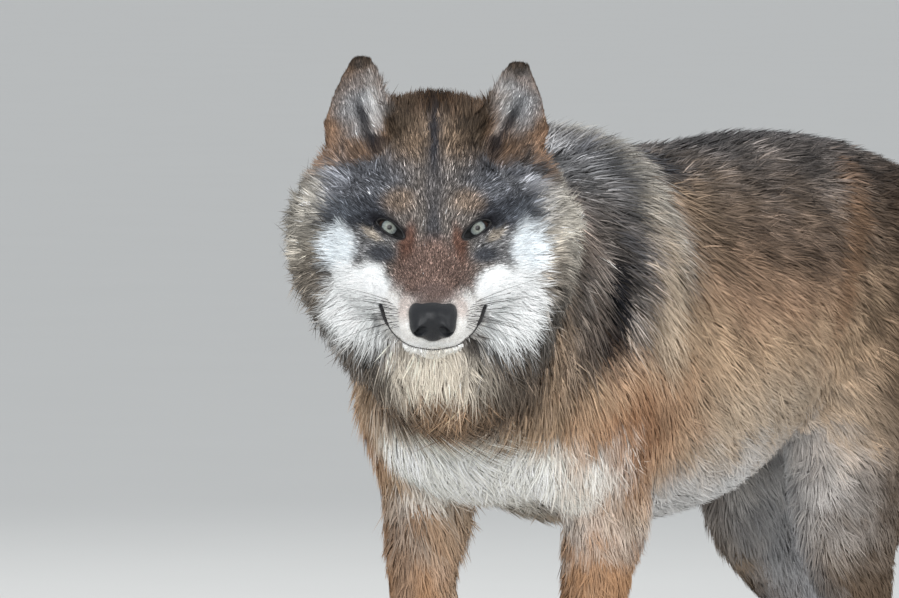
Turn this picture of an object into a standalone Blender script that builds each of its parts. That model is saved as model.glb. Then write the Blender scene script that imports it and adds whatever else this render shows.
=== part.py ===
"""A life-size grey wolf in its winter coat, standing with its head turned to its left.

The body is built as one closed form and then parted by thin cuts into the head, neck,
trunk, tail, ears, nose and the lengths of each leg. Each form is a round mass of muscle
and coat, named in the functions below. The masses start as primitives, a voxel remesh
joins them, and the joined surface is settled onto the smooth blend of all the masses.
Metres, +Z up, the wolf faces -Y and its left side is +X.
"""

import math

import bmesh
import bpy
import numpy as np
from mathutils import Matrix, Vector

# ---------------------------------------------------------------- driving dimensions
WITHERS = 0.797  # height of the coat over the shoulder blades
CROUP = 0.772  # height of the coat over the hips
BRISKET = 0.417  # height of the coat under the chest
CHEST_FRONT = -0.365  # where the coat of the chest begins
RUMP_BACK = 0.545  # where the coat of the rump ends
CHEST_HALF_WIDTH = 0.150
PART_GAP = 0.0003  # clear gap between two neighbouring pieces

HEAD_AT = Vector((0.168, -0.553, 0.728))  # the point midway between the eyes
HEAD_YAW = math.radians(35.0)  # the head is turned this far to the left
HEAD_PITCH = math.radians(17.0)  # and carried this far nose-down
HEAD_ROLL = math.radians(0.5)

EYE_HALF_SPACING = 0.0405
EYE_RADIUS = 0.0120
EYE_DEPTH = -0.003  # how far the eyeball's middle is behind the point between the eyes
CLAW_LENGTH = 0.022
CLAW_RADIUS = 0.0034
CLAW_PITCH = 118.0  # degrees from straight up, over the toes to the floor
CLAW_CURVE = 0.25
CLAW_NARROW = 0.75  # width to height of a claw
CLAW_BLUNT = 0.2  # radius of the point to that of the root
CLAW_BACK = 0.009  # how far the root is behind the tip of its toe
CLAW_HEIGHT = 0.0185
SOLE_CUT = 0.0012  # the soles are cut flat at this height of the form
SOLE_EDGE = 0.006  # rounding of the edge of the soles

EAR_LENGTH = 0.100
EAR_AT = (0.0648, 0.078, 0.036)  # middle of the left ear's base, in the head's own axes
EAR_BACK = {1: 4.0, -1: -6.0}  # degrees that the left ear leans forward and the right ear back
EAR_OUT = {1: 8.0, -1: 4.5}  # degrees that the left and the right ear tip outward
EAR_OPEN = 14.0  # degrees that they open to the side

BODY_VOXEL = 0.006  # mesh size of the joined forms
HEAD_VOXEL = 0.0032
SETTLE_REACH = 0.045  # vertices deeper inside than this are not on the surface and stay
BODY_TRIANGLES = 3450
HEAD_TRIANGLES = 2300


# ---------------------------------------------------------------- distance to one mass
def turned(rotation):
    """Rotation matrix from three angles in degrees about X, Y and Z."""
    rx, ry, rz = (math.radians(angle) for angle in rotation)
    turn = Matrix.Rotation(rz, 3, "Z") @ Matrix.Rotation(ry, 3, "Y") @ Matrix.Rotation(rx, 3, "X")
    return np.array(turn)


class Ball:
    """An ellipsoid of muscle or coat."""

    def __init__(self, at, radii, turn=(0, 0, 0), blend=0.03):
        self.at = np.array(at, float)
        self.radii = np.array(radii, float)
        self.axes = turned(turn)
        self.blend = blend

    def centre_and_reach(self):
        return self.at, self.radii.max()

    def distance(self, points):
        local = (points - self.at) @ self.axes
        scaled = np.linalg.norm(local / self.radii, axis=1)
        slope = np.linalg.norm(local / self.radii**2, axis=1)
        return np.where(slope > 1e-6, scaled * (scaled - 1) / np.maximum(slope, 1e-6), -self.radii.min())

    def balls(self):
        """The balls that stand for this mass in the first joined mesh, as matrices of a unit ball."""
        place = Matrix.Translation(self.at) @ Matrix(self.axes.tolist()).to_4x4()
        return [place @ Matrix.Diagonal((*self.radii, 1.0))]


class Limb:
    """A tapered round-ended length between two joints. wide narrows it across the body."""

    def __init__(self, start, end, start_radius, end_radius, wide=1.0, blend=0.02):
        self.start = np.array(start, float)
        self.end = np.array(end, float)
        self.radii = (start_radius, end_radius)
        self.wide = wide
        self.blend = blend

    def centre_and_reach(self):
        half = np.linalg.norm(self.end - self.start) / 2
        return (self.start + self.end) / 2, half + max(self.radii)

    def distance(self, points):
        narrow = np.array([1 / self.wide, 1, 1])
        start = self.start * narrow
        along = self.end * narrow - start
        local = points * narrow - start
        share = np.clip(local @ along / (along @ along), 0, 1)
        radius = self.radii[0] + (self.radii[1] - self.radii[0]) * share
        return (np.linalg.norm(local - share[:, None] * along, axis=1) - radius) * min(1.0, self.wide)

    def balls(self):
        made = []
        for share in np.linspace(0, 1, 6):
            radius = self.radii[0] + (self.radii[1] - self.radii[0]) * share
            at = self.start + (self.end - self.start) * share
            made.append(Matrix.Translation(at) @ Matrix.Diagonal((radius * self.wide, radius, radius, 1.0)))
        return made


class Chain:
    """A bent length with a smooth taper, given by stations of (x, y, z, radius)."""

    def __init__(self, stations, wide=1.0, blend=0.02):
        table = np.array(stations, float)
        knots = np.arange(len(table))
        at = np.linspace(0, len(table) - 1, 5 * (len(table) - 1) + 1)
        line = np.stack([smooth_line(knots, table[:, k], at) for k in range(4)], axis=1)
        self.points = line[:, :3]
        self.radii = line[:, 3]
        self.wide = wide
        self.blend = blend

    def centre_and_reach(self):
        middle = (self.points.min(axis=0) + self.points.max(axis=0)) / 2
        return middle, (np.linalg.norm(self.points - middle, axis=1) + self.radii).max()

    def distance(self, points):
        narrow = np.array([1 / self.wide, 1, 1])
        path = self.points * narrow
        where = points * narrow
        near = np.full(len(points), 1.0)
        for k in range(len(path) - 1):
            along = path[k + 1] - path[k]
            local = where - path[k]
            share = np.clip(local @ along / (along @ along), 0, 1)
            radius = self.radii[k] + (self.radii[k + 1] - self.radii[k]) * share
            near = np.minimum(near, np.linalg.norm(local - share[:, None] * along, axis=1) - radius)
        return near * min(1.0, self.wide)

    def balls(self):
        return [
            Matrix.Translation(at) @ Matrix.Diagonal((radius * self.wide, radius, radius, 1.0))
            for at, radius in zip(self.points[::2], self.radii[::2])
        ]


class Barrel:
    """A body lying along Y, given by stations of (y, top, bottom, half width)."""

    def __init__(self, stations, square=2.2, blend=0.03):
        table = np.array(stations, float)
        self.at_y = np.linspace(table[0, 0], table[-1, 0], 120)
        lines = [smooth_line(table[:, 0], table[:, k], self.at_y) for k in (1, 2, 3)]
        self.top, self.bottom, self.half = lines
        self.square = square
        self.blend = blend

    def centre_and_reach(self):
        middle = np.array([0, (self.at_y[0] + self.at_y[-1]) / 2, (self.top.max() + self.bottom.min()) / 2])
        spans = (self.at_y[-1] - self.at_y[0], self.top.max() - self.bottom.min(), 2 * self.half.max())
        return middle, math.hypot(*spans) / 2

    def distance(self, points):
        y = np.clip(points[:, 1], self.at_y[0], self.at_y[-1])
        top, bottom, half = (np.interp(y, self.at_y, line) for line in (self.top, self.bottom, self.half))
        up = points[:, 2] - (top + bottom) / 2
        tall = (top - bottom) / 2
        power = self.square
        share = (np.abs(points[:, 0] / half) ** power + np.abs(up / tall) ** power) ** (1 / power)
        radial = np.hypot(points[:, 0], up)
        near = np.where(share > 1e-3, radial * (1 - 1 / np.maximum(share, 1e-3)), -np.minimum(half, tall))
        past = points[:, 1] - y
        return np.where(np.abs(past) > 0, np.hypot(np.maximum(near, 0), past), near)

    def balls(self):
        made = []
        for k in range(4, len(self.at_y) - 4, 3):
            middle = (self.top[k] + self.bottom[k]) / 2
            tall = (self.top[k] - self.bottom[k]) / 2
            long = min(self.half[k], tall) * 0.5
            place = Matrix.Translation((0, self.at_y[k], middle))
            made.append(place @ Matrix.Diagonal((self.half[k], long, tall, 1.0)))
        return made


def smooth_line(knots, values, at):
    """A curve through the knots with no overshoot between them (monotone cubic)."""
    step = np.diff(knots)
    slope = np.diff(values) / step
    lean = np.zeros(len(knots))
    same = slope[1:] * slope[:-1] > 0
    lean[1:-1][same] = 2 * slope[1:][same] * slope[:-1][same] / (slope[1:] + slope[:-1])[same]
    lean[0], lean[-1] = slope[0], slope[-1]
    k = np.clip(np.searchsorted(knots, at) - 1, 0, len(step) - 1)
    t = (at - knots[k]) / step[k]
    return (values[k] * (1 + 2 * t) * (1 - t) ** 2 + values[k + 1] * t * t * (3 - 2 * t)
            + step[k] * (lean[k] * t * (1 - t) ** 2 - lean[k + 1] * t * t * (1 - t)))


# ---------------------------------------------------------------- blending masses
def blended(near, other, reach):
    """The smaller of two distances, with a fillet of that reach between them."""
    overlap = np.maximum(reach - np.abs(near - other), 0) / reach
    return np.minimum(near, other) - overlap**2 * reach / 4


def hollowed(near, cutter, reach):
    """near with cutter taken out of it, with a fillet of that reach."""
    return -blended(-near, cutter, reach)


def both_sides(make):
    """The masses that make(side) gives for the left side and the right side."""
    return make(1) + make(-1)


# ---------------------------------------------------------------- the masses of the body
def trunk_masses():
    back = Barrel([
        (CHEST_FRONT, 0.590, 0.545, 0.025),
        (-0.350, 0.645, 0.505, 0.052),
        (-0.310, 0.705, 0.472, 0.084),
        (-0.250, 0.750, 0.448, 0.112),
        (-0.180, 0.784, 0.434, 0.134),
        (-0.110, WITHERS, BRISKET, CHEST_HALF_WIDTH - 0.002),
        (0.000, 0.781, 0.410, CHEST_HALF_WIDTH),
        (0.080, 0.781, 0.416, 0.147),
        (0.150, 0.784, 0.442, 0.141),
        (0.200, 0.787, 0.474, 0.135),
        (0.250, 0.787, 0.506, 0.128),
        (0.300, 0.784, 0.530, 0.122),
        (0.380, CROUP, 0.545, 0.114),
        (0.450, CROUP - 0.028, 0.560, 0.100),
        (0.510, CROUP - 0.064, 0.580, 0.075),
        (RUMP_BACK, 0.672, 0.610, 0.035),
    ], square=2.15, blend=0.05)
    mane = Ball((0.010, -0.150, 0.680), (0.100, 0.130, 0.108), blend=0.04)
    shoulders = both_sides(lambda side: [
        Ball((side * 0.090, -0.170, 0.630), (0.056, 0.090, 0.150), turn=(-14, side * -6, 0), blend=0.05),
        Ball((side * 0.084, -0.200, 0.530), (0.046, 0.072, 0.085), turn=(20, 0, 0), blend=0.04),
    ])
    haunches = both_sides(lambda side: [
        Ball((side * 0.066, 0.400, 0.605), (0.058, 0.108, 0.112), blend=0.06),
    ])
    return [back, mane] + shoulders + haunches


def neck_masses():
    return [
        Limb((0.005, -0.160, 0.655), (0.092, -0.425, 0.690), 0.122, 0.112, blend=0.06),
        Limb((0.030, -0.270, 0.570), (0.112, -0.450, 0.625), 0.092, 0.088, blend=0.05),
    ]


FOOT_OUT = 0.078  # how far each paw is from the middle plane
HIND_PAW = 0.92  # size of a hind paw to a fore paw
FORELEGS = {
    "left": {"side": 1, "shoulder": -0.190, "elbow": -0.146, "wrist": -0.190, "toes": -0.250},
    "right": {"side": -1, "shoulder": -0.205, "elbow": -0.200, "wrist": -0.214, "toes": -0.275},
}
HIND_LEGS = {
    "left": {"side": 1, "hip": 0.370, "knee": 0.238, "hock": 0.330, "toes": 0.226},
    "right": {"side": -1, "hip": 0.400, "knee": 0.335, "hock": 0.518, "toes": 0.436},
}


def foreleg_masses(leg):
    x = leg["side"] * 0.084
    low_x = leg["side"] * FOOT_OUT
    elbow, wrist, toes = leg["elbow"], leg["wrist"], leg["toes"]
    foot = toes + 0.070
    return [
        Chain([
            (x, leg["shoulder"], 0.545, 0.050),
            (x, elbow - 0.010, 0.450, 0.046),
            (x, elbow - 0.012, 0.400, 0.0405),
            (x, (elbow + wrist) / 2 - 0.004, 0.320, 0.0345),
            (low_x, wrist - 0.001, 0.250, 0.0295),
            (low_x, wrist - 0.003, 0.210, 0.0300),
            (low_x, wrist, 0.165, 0.0260),
            (low_x, (wrist + foot) / 2, 0.115, 0.0245),
            (low_x, foot, 0.070, 0.0270),
        ], wide=0.92, blend=0.03),
        Ball((x, elbow + 0.012, 0.438), (0.032, 0.034, 0.046), blend=0.03),
    ] + paw_masses(low_x, toes, 1.0)


def hind_leg_masses(leg):
    side, hip, knee, hock, toes = (leg[k] for k in ("side", "hip", "knee", "hock", "toes"))
    x = side * 0.086
    low_x = side * FOOT_OUT
    foot = toes + 0.062
    return [
        Chain([
            (side * 0.070, hip + 0.012, 0.610, 0.098),
            (side * 0.078, hip - 0.035, 0.545, 0.090),
            (x, knee + 0.040, 0.470, 0.070),
            (x, knee + 0.030, 0.400, 0.054),
            (x, (knee + hock) / 2 + 0.012, 0.320, 0.0395),
            (low_x, hock - 0.010, 0.250, 0.0285),
            (low_x, hock, 0.215, 0.0275),
            (low_x, hock - 0.008, 0.165, 0.0235),
            (low_x, (hock + foot) / 2 - 0.002, 0.110, 0.0230),
            (low_x, foot, 0.065, 0.0250),
        ], wide=0.78, blend=0.05),
        Chain([
            (side * 0.066, hip + 0.085, 0.600, 0.070),
            (side * 0.076, hip + 0.070, 0.520, 0.060),
            (x, (knee + hock) / 2 + 0.050, 0.430, 0.042),
            (x, (knee + 2 * hock) / 3 + 0.014, 0.350, 0.029),
            (low_x, hock + 0.006, 0.275, 0.017),
            (low_x, hock + 0.012, 0.228, 0.016),
        ], wide=0.90, blend=0.035),
        Ball((x, knee + 0.088, 0.425), (0.036, 0.048, 0.060), blend=0.03),
    ] + paw_masses(low_x, toes, HIND_PAW)


def paw_masses(x, tip, size):
    """A paw whose middle toes end at y = tip: four toes, the knuckles and the heel pad."""
    toe_radii = (0.0140 * size, 0.0290 * size, 0.0200 * size)
    knuckle_radii = (0.0370 * size, 0.0380 * size, 0.0290 * size)
    heel_radii = (0.0270 * size, 0.0250 * size, 0.0180 * size)
    toes = []
    for across, back in TOES:
        at = (x + across * size, tip + (back + 0.026) * size, 0.0185 * size)
        toes.append(Ball(at, toe_radii, turn=(-12, 0, across * TOE_SPREAD), blend=0.004))
    knuckles = Ball((x, tip + 0.069 * size, 0.031 * size), knuckle_radii, turn=(-14, 0, 0), blend=0.014)
    heel = Ball((x, tip + 0.090 * size, 0.014 * size), heel_radii, blend=0.015)
    return toes + [knuckles, heel]


TOES = ((-0.0335, 0.021), (-0.0118, 0.003), (0.0118, 0.003), (0.0335, 0.021))  # across, and back from the tip
TOE_SPREAD = -260  # degrees that a toe turns out for each metre it lies to the side


def tail_masses():
    return [Chain([
        (0.000, 0.490, 0.680, 0.046),
        (0.004, 0.560, 0.640, 0.043),
        (0.010, 0.602, 0.560, 0.050),
        (0.014, 0.616, 0.460, 0.055),
        (0.014, 0.610, 0.370, 0.047),
        (0.012, 0.594, 0.300, 0.022),
        (0.011, 0.588, 0.280, 0.008),
    ], wide=0.92, blend=0.03)]


# ---------------------------------------------------------------- the masses of the head
# The head's own axes start midway between the eyes: x to its left, -y forward, z up.
def head_masses():
    crown = [
        Ball((0, 0.078, 0.012), (0.062, 0.080, 0.066), blend=0.03),
        Ball((0, 0.022, 0.006), (0.046, 0.050, 0.033), blend=0.03),
        Ball((0, 0.118, -0.020), (0.092, 0.070, 0.100), blend=0.04),
    ]
    muzzle = [
        Limb((0, 0.010, -0.030), (0, -0.098, -0.050), 0.043, 0.0250, wide=0.98, blend=0.02),
        Limb((0, 0.010, -0.010), (0, -0.112, -0.042), 0.024, 0.0155, wide=1.15, blend=0.015),
        Limb((0, 0.015, -0.064), (0, -0.086, -0.0750), 0.034, 0.0185, wide=1.25, blend=0.006),
        Ball((0, 0.020, -0.085), (0.050, 0.050, 0.034), blend=0.03),
    ]
    nose = [
        Ball((0, -0.118, -0.0455), (0.0200, 0.0165, 0.0170), blend=0.006),
        Ball((0.0105, -0.119, -0.0490), (0.0100, 0.0150, 0.0115), blend=0.004),
        Ball((-0.0105, -0.119, -0.0490), (0.0100, 0.0150, 0.0115), blend=0.004),
    ]
    sides = both_sides(lambda side: [
        Limb((side * 0.026, 0.002, 0.014), (side * 0.054, 0.020, 0.019), 0.0135, 0.013, blend=0.016),
        Ball((side * 0.050, 0.044, -0.012), (0.036, 0.052, 0.042), blend=0.03),
        Ball((side * 0.038, 0.004, -0.030), (0.021, 0.026, 0.018), blend=0.02),
        Limb((side * 0.030, -0.022, -0.050), (side * 0.074, 0.066, -0.050), 0.024, 0.056, blend=0.03),
        Ball((side * 0.086, 0.094, -0.022), (0.046, 0.046, 0.064), turn=(0, side * -16, 0), blend=0.03),
        Ball((side * 0.062, 0.072, -0.086), (0.050, 0.046, 0.052), blend=0.04),
        Limb((side * 0.013, -0.098, -0.0545), (side * 0.024, -0.046, -0.0540), 0.0175, 0.0215, blend=0.012),
        Limb((side * 0.014, -0.094, -0.0700), (side * 0.031, -0.040, -0.0655), 0.0135, 0.0170, blend=0.008),
        Limb((side * 0.010, 0.105, 0.062), (side * 0.040, 0.100, 0.062), 0.0255, 0.0235, blend=0.025),
    ])
    throat = [Ball((0, 0.070, -0.110), (0.080, 0.068, 0.060), blend=0.05)]
    return crown + muzzle + sides + throat + nose


def openings():
    """What is cut out of the head between the lids, and out of the nose for the nostrils."""
    lids = both_sides(lambda side: [
        Ball((side * (EYE_HALF_SPACING + 0.001), -0.013, -0.001), (0.0150, 0.014, 0.0080),
             turn=(0, side * 22, side * 28)),
    ])
    nostrils = both_sides(lambda side: [
        Ball((side * 0.0100, -0.1345, -0.0500), (0.0042, 0.0080, 0.0038), turn=(0, side * 20, side * -20)),
    ])
    return lids, nostrils


# Each ear's own axes start at its base: z along the ear and -y out of its opening.
def ear_masses():
    tip = EAR_LENGTH - 0.010
    return [
        Chain([
            (0, 0.004, -0.015, 0.0215),
            (0, 0.004, 0.020, 0.0215),
            (0, 0.003, 0.048, 0.0180),
            (0, 0.004, 0.074, 0.0118),
            (0, 0.006, tip, 0.0072),
        ], wide=1.82, blend=0.012),
    ]


def ear_hollows():
    return [
        Chain([
            (0, -0.014, 0.010, 0.0135),
            (0, -0.012, 0.028, 0.0165),
            (0, -0.009, 0.050, 0.0140),
            (0, -0.006, 0.071, 0.0088),
            (0, -0.003, 0.084, 0.0046),
        ], wide=1.82),
    ]


HEAD_MATRIX = (
    Matrix.Translation(HEAD_AT)
    @ Matrix.Rotation(HEAD_YAW, 4, "Z")
    @ Matrix.Rotation(HEAD_PITCH, 4, "X")
    @ Matrix.Rotation(HEAD_ROLL, 4, "Y")
)


def ear_matrix(side):
    return (
        HEAD_MATRIX
        @ Matrix.Translation((side * EAR_AT[0], EAR_AT[1], EAR_AT[2]))
        @ Matrix.Rotation(side * math.radians(EAR_OPEN), 4, "Z")
        @ Matrix.Rotation(side * math.radians(EAR_OUT[side]), 4, "Y")
        @ Matrix.Rotation(math.radians(EAR_BACK[side]), 4, "X")
    )


# ---------------------------------------------------------------- the whole form
def all_masses():
    """Groups of (axes, masses, hollows). The first is the body, in the wolf's own axes."""
    body = trunk_masses() + neck_masses() + tail_masses()
    for leg in FORELEGS.values():
        body += foreleg_masses(leg)
    for leg in HIND_LEGS.values():
        body += hind_leg_masses(leg)
    return [
        (Matrix.Identity(4), body, []),
        (HEAD_MATRIX, head_masses(), []),
        (ear_matrix(1), ear_masses(), ear_hollows()),
        (ear_matrix(-1), ear_masses(), ear_hollows()),
    ]


def form_distance(points, groups):
    """Distance from points to the coat's outer surface, negative inside."""
    total = np.full(len(points), 1.0)
    for axes, masses, hollows in groups:
        local = (points - np.array(axes.translation)) @ np.array(axes.to_3x3())
        for mass in masses:
            middle, reach = mass.centre_and_reach()
            close = np.flatnonzero(np.linalg.norm(local - middle, axis=1) < reach + mass.blend + 0.03)
            if len(close):
                total[close] = blended(total[close], mass.distance(local[close]), mass.blend)
        for hollow in hollows:
            middle, reach = hollow.centre_and_reach()
            close = np.flatnonzero(np.linalg.norm(local - middle, axis=1) < reach + 0.03)
            if len(close):
                total[close] = hollowed(total[close], hollow.distance(local[close]), 0.003)
    return hollowed(total, points[:, 2], SOLE_EDGE)


def settle(mesh, groups, rounds=6):
    """Moves each vertex near the form along the slope of the distance until it lies on the form."""
    count = len(mesh.vertices)
    at = np.empty(count * 3)
    mesh.vertices.foreach_get("co", at)
    at = at.reshape(-1, 3)
    near = np.abs(form_distance(at, groups)) < SETTLE_REACH
    moving = at[near]
    nudge = 0.0008
    for _ in range(rounds):
        here = form_distance(moving, groups)
        slope = np.empty_like(moving)
        for axis in range(3):
            ahead = moving.copy()
            ahead[:, axis] += nudge
            slope[:, axis] = (form_distance(ahead, groups) - here) / nudge
        length = np.maximum(np.linalg.norm(slope, axis=1), 0.3)
        step = np.clip(here / length, -0.008, 0.008)
        moving -= slope / length[:, None] * step[:, None]
    at[near] = moving
    mesh.vertices.foreach_set("co", at.ravel())
    mesh.update()


def unit_ball(segments=20, rings=12):
    """(points, faces) of a ball of radius 1."""
    ball = bmesh.new()
    bmesh.ops.create_uvsphere(ball, u_segments=segments, v_segments=rings, radius=1.0)
    points = [vertex.co.copy() for vertex in ball.verts]
    faces = [[vertex.index for vertex in face.verts] for face in ball.faces]
    ball.free()
    return points, faces


def new_object(name, mesh):
    made = bpy.data.objects.new(name, mesh)
    bpy.context.scene.collection.objects.link(made)
    return made


def joined_balls(name, groups, which, voxel):
    """One closed mesh of the masses, or else the hollows, of the groups."""
    ball_points, ball_faces = unit_ball()
    points, faces = [], []
    for group in groups:
        for place in (group[0] @ one for mass in group[which] for one in mass.balls()):
            faces += [[len(points) + k for k in face] for face in ball_faces]
            points += [place @ point for point in ball_points]
    mesh = bpy.data.meshes.new(name)
    mesh.from_pydata(points, [], faces)
    joined = new_object(name, mesh)
    join = joined.modifiers.new("join", "REMESH")
    join.mode = "VOXEL"
    join.voxel_size = voxel
    bake(joined)
    return joined


MASSES, HOLLOWS = 1, 2  # places in a group


def joined_form(name, started, groups, voxel, triangles):
    """One closed mesh of the masses in the groups started, settled onto the form of all groups."""
    form = joined_balls(name, started, MASSES, voxel)
    if any(group[HOLLOWS] for group in started):
        cut(form, joined_balls("cutter", started, HOLLOWS, voxel), "DIFFERENCE")
        again = form.modifiers.new("again", "REMESH")
        again.mode = "VOXEL"
        again.voxel_size = voxel
    relax = form.modifiers.new("relax", "SMOOTH")
    relax.iterations = 3
    bake(form)
    settle(form.data, groups)
    thin = form.modifiers.new("thin", "DECIMATE")
    thin.ratio = triangles / (2 * len(form.data.polygons))
    bake(form)
    return form


def bake(form):
    """Replaces the object's mesh with what its modifiers make of it."""
    graph = bpy.context.evaluated_depsgraph_get()
    made = bpy.data.meshes.new_from_object(form.evaluated_get(graph))
    form.modifiers.clear()
    form.data = made


# ---------------------------------------------------------------- parting the form
class Region:
    """A box in its own axes that marks off one piece of the form."""

    def __init__(self, low, high, axes=Matrix.Identity(4)):
        self.low = Vector(low)
        self.high = Vector(high)
        self.axes = axes

    def cutter(self, grow):
        """A box object for the region, grown on every side."""
        box = bmesh.new()
        bmesh.ops.create_cube(box, size=1.0)
        mesh = bpy.data.meshes.new("cutter")
        box.to_mesh(mesh)
        box.free()
        size = self.high - self.low + Vector((2 * grow,) * 3)
        middle = Matrix.Translation((self.low + self.high) / 2)
        mesh.transform(self.axes @ middle @ Matrix.Diagonal((*size, 1.0)))
        return new_object("cutter", mesh)


def cut(form, cutter, operation):
    """Runs one Boolean on the form and removes the cutter."""
    boolean = form.modifiers.new("cut", "BOOLEAN")
    boolean.object = cutter
    boolean.operation = operation
    boolean.solver = "EXACT"
    bake(form)
    bpy.data.objects.remove(cutter)


def part_off(form, name, region):
    """Parts the region off the form, with the gap between them, and returns it as a new object."""
    piece = new_object(name, form.data.copy())
    cut(piece, region.cutter(-PART_GAP / 2), "INTERSECT")
    cut(form, region.cutter(PART_GAP / 2), "DIFFERENCE")
    return piece


def above(height):
    """Everything from this height up."""
    return Region((-1, -1, height), (1, 1, 2))


def plane_region(point, normal):
    """Everything on the side of a plane that its normal points to."""
    axes = Matrix.Translation(point) @ Vector(normal).to_track_quat("Z", "Y").to_matrix().to_4x4()
    return Region((-1, -1, 0), (1, 1, 1), axes)


LEG_INSIDE = 0.012  # the legs are parted off between these distances from the middle plane
LEG_OUTSIDE = 0.220
FOREARM_TOP = 0.412  # just under the coat of the chest
THIGH_BOTTOM = 0.400
HAUNCH_AT = (0, 0.215, 0.492)  # where the line over the haunches starts, at the flank
HAUNCH_SLOPE = 20.0  # degrees that it rises to the tail
BELLY_END = 0.288  # from the knee forward to the front of the haunch, along that line
HEAD_REGION = Region((-0.4, -0.4, -0.4), (0.4, 0.108, 0.4), HEAD_MATRIX)
NOSE_REGION = Region((-0.026, -0.2, -0.0650), (0.026, -0.1165, -0.0260), HEAD_MATRIX)
NECK_REGION = plane_region((0.020, -0.300, 0.680), (0.25, -0.85, 0.46))
TAIL_REGION = Region((-0.2, 0.552, 0.250), (0.2, 0.9, 0.9))
EAR_BOX = ((-0.0395, -0.05, 0.028), (0.0395, 0.05, 0.15))  # in the axes of an ear
FOREPAW_TOP = 0.066
HIND_PAW_TOP = 0.062
WRIST_HEIGHT = 0.195
HOCK_HEIGHT = 0.190


def leg_pieces(body, name, region, lengths):
    """A leg parted off the body, then parted at each height of its lengths, from the top down."""
    leg = part_off(body, name, region)
    pieces = []
    for piece, height in lengths:
        pieces.append(part_off(leg, f"{name}_{piece}", above(height)))
    leg.name = f"{name}_paw"
    return pieces + [leg]


def thigh_region(side, knee):
    """The haunch below a sloping line from the flank to the tail, and behind the belly."""
    low, high = sorted((side * LEG_INSIDE, side * LEG_OUTSIDE))
    slope = Matrix.Translation(HAUNCH_AT) @ Matrix.Rotation(math.radians(HAUNCH_SLOPE), 4, "X")
    return Region((low, knee - BELLY_END, -0.7), (high, 0.5, 0.0), slope)


def add_claw(name, at, size, grow=0.0):
    """A curved claw with its root inside the toe and its point forward and down."""
    length = CLAW_LENGTH * size + 2 * grow
    root = CLAW_RADIUS * size + grow
    tip = CLAW_RADIUS * CLAW_BLUNT * size + grow
    cone = bmesh.new()
    bmesh.ops.create_cone(
        cone, cap_ends=True, segments=6, radius1=root, radius2=tip, depth=length,
        matrix=Matrix.Translation((0, 0, length / 2 - grow)),
    )
    everything = cone.verts[:] + cone.edges[:] + cone.faces[:]
    bmesh.ops.bisect_plane(cone, geom=everything, plane_co=(0, 0, length / 2), plane_no=(0, 0, 1))
    for vertex in cone.verts:
        vertex.co.x *= CLAW_NARROW
        vertex.co.y -= CLAW_CURVE * vertex.co.z * abs(vertex.co.z) / length
    bmesh.ops.triangulate(cone, faces=cone.faces[:])
    mesh = bpy.data.meshes.new(name)
    cone.to_mesh(mesh)
    cone.free()
    mesh.transform(Matrix.Translation(at) @ Matrix.Rotation(math.radians(CLAW_PITCH), 4, "X"))
    return new_object(name, mesh)


def add_claws(paw, name, x, tip, size):
    """Four claws on a paw, each in a hole of its own cut through the toe."""
    made = []
    for number, (across, back) in enumerate(TOES, start=1):
        at = (x + across * size, tip + (back + CLAW_BACK) * size, CLAW_HEIGHT * size)
        made.append(add_claw(f"claw_{name}_{number}", at, size))
        cut(paw, add_claw("cutter", at, size, PART_GAP), "DIFFERENCE")
    return made


def add_ball(name, place, segments, rings):
    """An object made of a unit ball that the matrix stretches and places."""
    points, faces = unit_ball(segments, rings)
    mesh = bpy.data.meshes.new(name)
    mesh.from_pydata(points, [], faces)
    mesh.transform(place)
    return new_object(name, mesh)


def eye_matrix(side, radius):
    """Places a unit ball as an eyeball, with its poles at the front and the back."""
    at = Matrix.Translation((side * EYE_HALF_SPACING, EYE_DEPTH, 0))
    return HEAD_MATRIX @ at @ Matrix.Rotation(math.radians(90), 4, "X") @ Matrix.Scale(radius, 4)


# ---------------------------------------------------------------- the pieces
def make_head_pieces(groups):
    """The head with its ears, nose and eyes."""
    started = [(Matrix.Identity(4), neck_masses(), [])] + groups[1:]
    head = joined_form("head", started, groups, HEAD_VOXEL, HEAD_TRIANGLES)
    head = keep_inside(head, HEAD_REGION)
    nose = part_off(head, "nose", NOSE_REGION)
    lids, nostrils = openings()
    for piece, hollows in ((head, lids), (nose, nostrils)):
        for hollow in hollows:
            cut(piece, add_ball("cutter", HEAD_MATRIX @ hollow.balls()[0], 12, 8), "DIFFERENCE")
    pieces = [nose]
    for name, side in (("left", 1), ("right", -1)):
        pieces.append(part_off(head, f"ear_{name}", Region(*EAR_BOX, ear_matrix(side))))
        cut(head, add_ball("cutter", eye_matrix(side, EYE_RADIUS + PART_GAP), 14, 9), "DIFFERENCE")
        pieces.append(add_ball(f"eye_{name}", eye_matrix(side, EYE_RADIUS), 14, 9))
    return [head] + pieces


def keep_inside(form, region):
    cut(form, region.cutter(-PART_GAP / 2), "INTERSECT")
    return form


def without_hollows(groups):
    return [(axes, masses, []) for axes, masses, _ in groups]


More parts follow.
